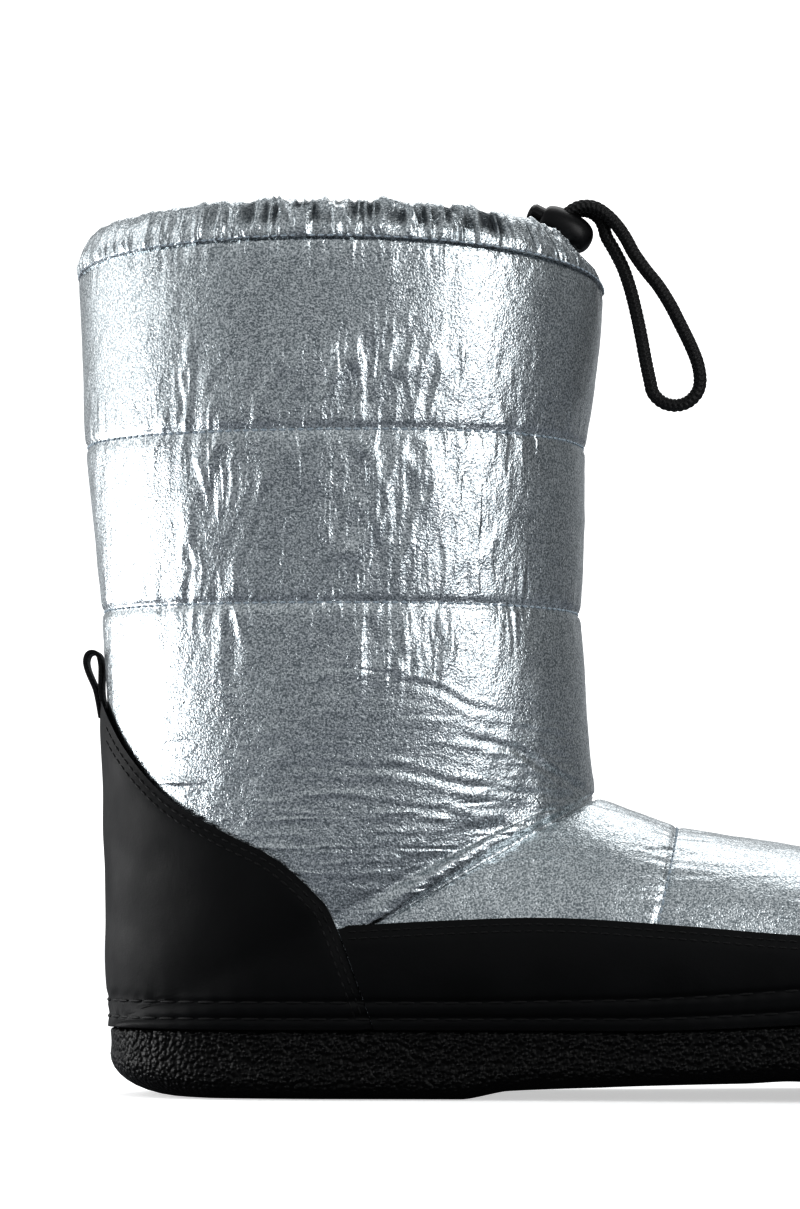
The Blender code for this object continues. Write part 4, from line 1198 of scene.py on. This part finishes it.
def make_casing():
    """Drawcord tunnel round the collar, gathered in fine tucks, most drawn up at the front."""
    columns = 1300
    ring = upper_grid([COLLAR_ROW], columns)[0][:-1]
    shares = np.abs(np.linspace(-1, 1, columns + 1)[:-1])
    at = np.interp(shares, [row.share for row in CASING], np.arange(len(CASING)))
    height = catmull_rom([row.height * MM for row in CASING], at)
    lean = catmull_rom([row.lean * MM for row in CASING], at)
    tangent = np.roll(ring, -1, axis=0) - np.roll(ring, 1, axis=0)
    inward = np.stack([-tangent[:, 1], tangent[:, 0], 0 * tangent[:, 0]], axis=1)
    inward /= np.linalg.norm(inward, axis=1)[:, None]
    girth = np.cumsum(np.linalg.norm(tangent, axis=1)) / 2 / MM
    girth = girth * round(girth[-1] / 64) * 64 / girth[-1]
    drawn = 0.9 - 0.6 * np.clip((shares - 0.55) / 0.3, 0, 1) + 0.6 * hump(shares, 0.12)
    smooth = catmull_rom(np.array(CASING_PROFILE, float), np.linspace(0, len(CASING_PROFILE) - 1, 200))
    profile = even_polyline(smooth, 30)
    loops = []
    folded = []
    for number, (across, tall) in enumerate(profile):
        share = number / (len(profile) - 1)
        level = np.full(columns, share)
        tucks = ridges(girth / 2, level * 2.4 + girth / 32, 61, 2) - 0.4
        creases = ridges(girth / 8, level * 1.4 + 5, 62, 9) - 0.2
        broad = lattice_noise(girth / 8, level * 1.3, 63) - 0.5
        full = math.sin(math.pi * share) ** 0.5
        roll = hump(share - 0.09, 0.06)
        fine = ridges(girth / 1.25, level * 1.6 + 3, 64, 2) - 0.4
        gathers = 1.2 * tucks + 1.3 * creases + 0.5 * broad + 0.4 * fine
        puff = (drawn * gathers * full + roll * (0.2 + 0.8 * tucks)) * MM
        turn = math.pi * share
        inset = across * WALL + lean * tall - puff * math.cos(turn)
        sunk = 0.8 * MM * max(0.0, 1 - tall / 0.2)
        rise = SEAT_GAP - sunk + height * tall + puff * math.sin(turn) * (1 - roll)
        loops.append(ring + inward * inset[:, None] + np.array([0, 0, 1.0]) * rise[:, None])
        # Painted shade: the foil is darkened in the valleys of the gathers, more where the casing is drawn
        # up, and less on the rolled bead at its foot
        deep = np.clip(0.4 - puff / FOLD_SHADE_DEPTH, 0, 1)
        folded.append(deep * np.clip((drawn - 0.4) / 0.5, 0, 0.9) * (1 - roll))
    loops.append(loops[0])
    folded.append(folded[0])
    grid, folded = closed_rows(loops), closed_rows(folded)
    crinkle = np.broadcast_to(np.append(drawn, drawn[0]) * 0.7, grid.shape[:2])
    bm = grid_bmesh(grid, crinkle=crinkle, folded=folded)
    bmesh.ops.remove_doubles(bm, verts=bm.verts, dist=0.005 * MM)
    bmesh.ops.recalc_face_normals(bm, faces=bm.faces)
    casing = settle(new_object("gathered_casing", bm, FOIL), "boot", "silver_foil_fabric", "collar_casing")


# Stitches


Stitch = namedtuple("Stitch", "pitch length radius sink")
EDGE_STITCH = Stitch(2.9 * MM, 2.3 * MM, 0.3 * MM, 0)
SOLE_STITCH = Stitch(6.0 * MM, 5.0 * MM, 0.5 * MM, 0.1 * MM)
QUILT_STITCH = Stitch(2.5 * MM, 1.9 * MM, 0.34 * MM, -0.15 * MM)
CASING_STITCH = Stitch(2.5 * MM, 1.9 * MM, 0.3 * MM, 0)


def stitch_row(name, points, normals, stitch, material):
    """A row of thread stitches along a line of points on a surface, as one piece."""
    points, normals = np.array(points), np.array(normals)
    travelled = travel(points)
    count = int(travelled[-1] / stitch.pitch)
    centres = (np.arange(count) + 0.5) * stitch.pitch
    size = Matrix.Diagonal((stitch.length / 2, stitch.radius, stitch.radius, 1))
    lengthways = Matrix.Rotation(math.pi / 2, 4, "Y")
    near = 0.3 * stitch.pitch
    bm = bmesh.new()
    shape = bpy.data.meshes.new("one_stitch")
    for centre in centres:
        back, here, ahead = map(Vector, at_travel(centre + np.array([-near, 0, near]), travelled, points))
        normal = Vector(at_travel(centre, travelled, normals)).normalized()
        forward = (ahead - back).normalized()
        sideways = normal.cross(forward).normalized()
        place = Matrix((forward, sideways, normal)).transposed().to_4x4()
        place.translation = here - normal * stitch.sink + HEEL
        one = bmesh.new()
        bmesh.ops.create_uvsphere(one, u_segments=8, v_segments=6, radius=1, matrix=place @ size @ lengthways)
        one.to_mesh(shape)
        one.free()
        bm.from_mesh(shape)
    bpy.data.meshes.remove(shape)
    return new_object(name, bm, material)


def line_on_side(cast, line, side):
    """Points and normals where a line in side view meets the surface on one side of the boot."""
    points, normals = [], []
    for along, height in line:
        hit = cast((along, side * 0.12, height), (0, -side, 0))
        if hit:
            points.append(hit[0])
            normals.append(hit[1])
    return points, normals


def offset_line(line, distance):
    """A line in side view moved sideways, to its right."""
    step = np.gradient(line, axis=0)
    step /= np.linalg.norm(step, axis=1)[:, None]
    return line + distance * np.column_stack([step[:, 1], -step[:, 0]])


def make_leather_stitches(counter, mudguard):
    """Two rows of stitches along the cut edges of the leather, on both sides."""
    cast = surface_of(counter, mudguard)
    edge = counter_edge(200)
    top = mudguard_top(260)
    top = top[(top[:, 0] > 66 * MM) & (top[:, 0] < 258 * MM)]
    made = []
    for row in (1.7, 3.5):
        for side, word in ((-1, "outer"), (1, "inner")):
            inside = offset_line(edge, row * MM)
            inside = inside[(inside[:, 0] > -0.5 * MM) & (inside[:, 1] > 20 * MM)]
            name = f"counter_stitch_{word}_{int(row * 10)}"
            made.append((name, *line_on_side(cast, inside, side)))
            below = offset_line(top, row * MM)
            made.append((f"mudguard_stitch_{word}_{int(row * 10)}", *line_on_side(cast, below, side)))
    for name, points, normals in made:
        piece = stitch_row(name, points, normals, EDGE_STITCH, BLACK_THREAD)
        settle(piece, "boot", "black_leather")


def make_sole_stitches(counter, mudguard):
    """Two rows of long stitches that hold the leather to the sole, right round the boot."""
    cast = surface_of(counter, mudguard)
    outline = sole_outline(0, 500)
    outward = -(sole_outline(0, 500, 1 * MM) - outline) / (1 * MM)
    for number in (0, 1):
        points, normals = [], []
        for place, out in zip(outline, outward):
            height = float(sole_top(place[0]) + band_heights(place[0])[number])
            hit = cast((*(place + out * 0.02), height), (*(-out), 0), 0.04)
            if hit:
                points.append(hit[0])
                normals.append(hit[1])
        piece = stitch_row(f"sole_stitch_{number}", points, normals, SOLE_STITCH, BLACK_THREAD)
        settle(piece, "boot", "black_leather")


def make_quilt_stitches(shell):
    """Fine stitches in the quilting lines, laid on the shell, and in the seam under the casing."""
    cast = surface_of(shell)
    for name, row in (("vamp", VAMP_STITCH_ROW), ("lower", LOWER_STITCH_ROW), ("upper", UPPER_STITCH_ROW)):
        near = upper_grid([row - 0.05, row, row + 0.05], 700)
        directions = grid_normals(near)[1]
        points, normals = [], []
        for point, out in zip(near[1], directions):
            hit = cast(point + out * 6 * MM, -out, 12 * MM)
            if hit and point[2] > table_curve(MUDGUARD_EDGE, point[0]):
                points.append(hit[0])
                normals.append(out)
        piece = stitch_row(f"quilt_stitch_{name}", points, normals, QUILT_STITCH, SILVER_THREAD)
        settle(piece, "boot", "silver_foil_fabric")
    near = upper_grid([COLLAR_ROW - 0.1, COLLAR_ROW], 700)
    piece = stitch_row("casing_stitch", near[1], grid_normals(near)[1], CASING_STITCH, SILVER_THREAD)
    settle(piece, "boot", "silver_foil_fabric")


# Heel pull and cord lock


def make_pull():
    """Folded tape at the heel, with a rounded edge."""
    route = smooth_polyline(np.array(PULL_ROUTE) * MM, 120)
    edges = np.linspace(-PULL_WIDTH / 2, PULL_WIDTH / 2, 13)
    grid = np.array([[(along, across, height) for along, height in route] for across in edges])
    pull = new_object("heel_pull", grid_bmesh(grid), TAPE)
    modifier(pull, "SOLIDIFY", thickness=PULL_STRAP, offset=0, use_rim=True)
    modifier(pull, "BEVEL", width=0.35 * MM, segments=3, limit_method="ANGLE", angle_limit=math.radians(50))
    settle(pull, "boot", "black_webbing", "pull_loop")


def oval_piece(name, ovals, points, around=72):
    """A smooth closed oval form along the lock's axis, round at both ends."""
    table = catmull_rom(np.array(ovals) * MM, np.linspace(0, len(ovals) - 1, points))
    turn = np.linspace(0, 2 * math.pi, around + 1)
    flat = 0.92
    wide = np.sign(np.cos(turn)) * np.abs(np.cos(turn)) ** flat
    tall = np.sign(np.sin(turn)) * np.abs(np.sin(turn)) ** flat
    rings = [np.column_stack([turn * 0 + at, w / 2 * wide, h / 2 * tall]) for at, w, h in table]
    turned = np.array(Matrix.Rotation(LOCK_PITCH, 3, "Y"))
    bm = grid_bmesh(np.array(rings) @ turned.T + np.array(LOCK_CENTRE))
    bmesh.ops.holes_fill(bm, edges=bm.edges, sides=around)
    bmesh.ops.recalc_face_normals(bm, faces=bm.faces)
    return new_object(name, bm, PLASTIC)


def make_lock():
    """Cord lock: a smooth bean-shaped barrel with two cord holes, and the flat plunger in its end."""
    barrel = oval_piece("lock_barrel", SMOOTH_BARREL, 60)
    radius, through = CORD_HOLE / 2, 20 * MM
    size = {"radius1": radius, "radius2": radius, "depth": through}
    for side in (-1, 1):
        hole = bmesh.new()
        place = Matrix.Translation(in_hole(side, 0) + HEEL) @ Matrix.Rotation(LOCK_PITCH, 4, "Y")
        bmesh.ops.create_cone(hole, cap_ends=True, segments=40, matrix=place, **size)
        cutter = new_object("hole_cutter", hole, PLASTIC)
        modifier(barrel, "BOOLEAN", operation="DIFFERENCE", object=cutter, solver="EXACT")
        apply_modifiers(barrel)
        bpy.data.objects.remove(cutter)
    barrel.data.set_sharp_from_angle(angle=math.radians(45))
    settle(barrel, "boot", "black_plastic", "lock_body")
    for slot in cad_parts["lock_plunger"].material_slots:
        slot.material = PLASTIC


# Stage and lights


def add_stage():
    """White sweep: brighter to the camera than to the boot, so that it doesn't flood the leather."""
    made, add, _ = start_material("white_sweep")
    seen = add("LightPath").outputs["Is Camera Ray"]
    shine = add("MapRange", spread(0, 1, seen, 0.0, 0.45))
    white = linear("#f6f6f6")
    colour = add("Mix", {0: seen, 6: linear("#8f9196"), 7: white}, data_type="RGBA")
    glow = {"Emission Color": white, "Emission Strength": shine}
    finish_material(add, {"Base Color": colour, "Roughness": 0.9, **glow})
    bm = bmesh.new()
    bmesh.ops.create_grid(bm, x_segments=1, y_segments=1, size=4)
    bmesh.ops.translate(bm, verts=bm.verts, vec=(0, 0, -0.2 * MM))
    new_object("floor", bm, made, False)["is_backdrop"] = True


Lamp = namedtuple("Lamp", "name place size power")
LAMPS = [
    Lamp("left_softbox", (-0.95, 0.12, 0.45), (1.0, 1.1), 2.5),
    Lamp("right_strip", (0.85, -0.75, 0.4), (0.38, 1.1), 3.4),
    Lamp("right_fill", (0.62, -0.98, 0.4), (0.3, 1.1), 1.0),
    Lamp("high_back", (0.15, 0.85, 1.15), (1.2, 0.8), 2.0),
    Lamp("low_left", (-0.42, 0.02, 0.06), (0.5, 0.12), 0.95),
]
LAMP_AIM = Vector((0.07, 0, 0.13))


def add_lights():
    """Softboxes round the boot, a wide ceiling, and a world that is white to the camera."""
    for lamp in LAMPS:
        data = bpy.data.lights.new(lamp.name, "AREA")
        data.shape = "RECTANGLE"
        data.size, data.size_y = lamp.size
        data.energy = lamp.power
        light = bpy.data.objects.new(lamp.name, data)
        light.location = Vector(lamp.place) + HEEL
        light.rotation_euler = (LAMP_AIM - Vector(lamp.place)).to_track_quat("-Z", "Y").to_euler()
        bpy.context.scene.collection.objects.link(light)
    data = bpy.data.lights.new("ceiling", "SUN")
    data.energy = 0.35
    data.angle = math.radians(50)
    ceiling = bpy.data.objects.new("ceiling", data)
    ceiling.rotation_euler = (math.radians(-30), 0, 0)
    bpy.context.scene.collection.objects.link(ceiling)
    world = bpy.data.worlds.new("studio")
    bpy.context.scene.world = world
    world.use_nodes = True
    world.node_tree.nodes.clear()
    add = functools.partial(add_node, world.node_tree)
    seen = add("LightPath").outputs["Is Camera Ray"]
    towards = add("SeparateXYZ", {"Vector": add("TexCoord")}).outputs["X"]
    darker_right = add("MapRange", spread(0.2, 0.8, towards, 0.54, 0.28))
    dim = add("Background", {"Color": linear("#d3d5d7"), "Strength": darker_right})
    white = add("Background", {"Color": linear("#ffffff"), "Strength": 1.0})
    mixed = add("MixShader", {0: seen, 1: dim, 2: white})
    add("OutputWorld", {"Surface": mixed})
    bpy.context.scene.view_settings.view_transform = "Standard"
    bpy.context.scene.view_settings.look = "High Contrast"


def main():
    add_camera()
    make_cord()
    make_upper()
    make_footbed()
    make_casing()
    form = counter_outline(), counter_edge(90), COUNTER_THICK, COUNTER_REACH
    counter = make_leather("heel_counter", "counter", *form)
    form = mudguard_outline(), mudguard_top(90), MUDGUARD_THICK, MUDGUARD_REACH
    mudguard = make_leather("mudguard_strip", "mudguard", *form)
    make_outsole()
    make_leather_stitches(counter, mudguard)
    make_sole_stitches(counter, mudguard)
    make_pull()
    make_lock()
    add_stage()
    add_lights()
    sizes = {"cad": cad_box, "visual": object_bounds()}
    {name: [list(map(float, corner)) for corner in box] for name, box in sizes.items()}


main()
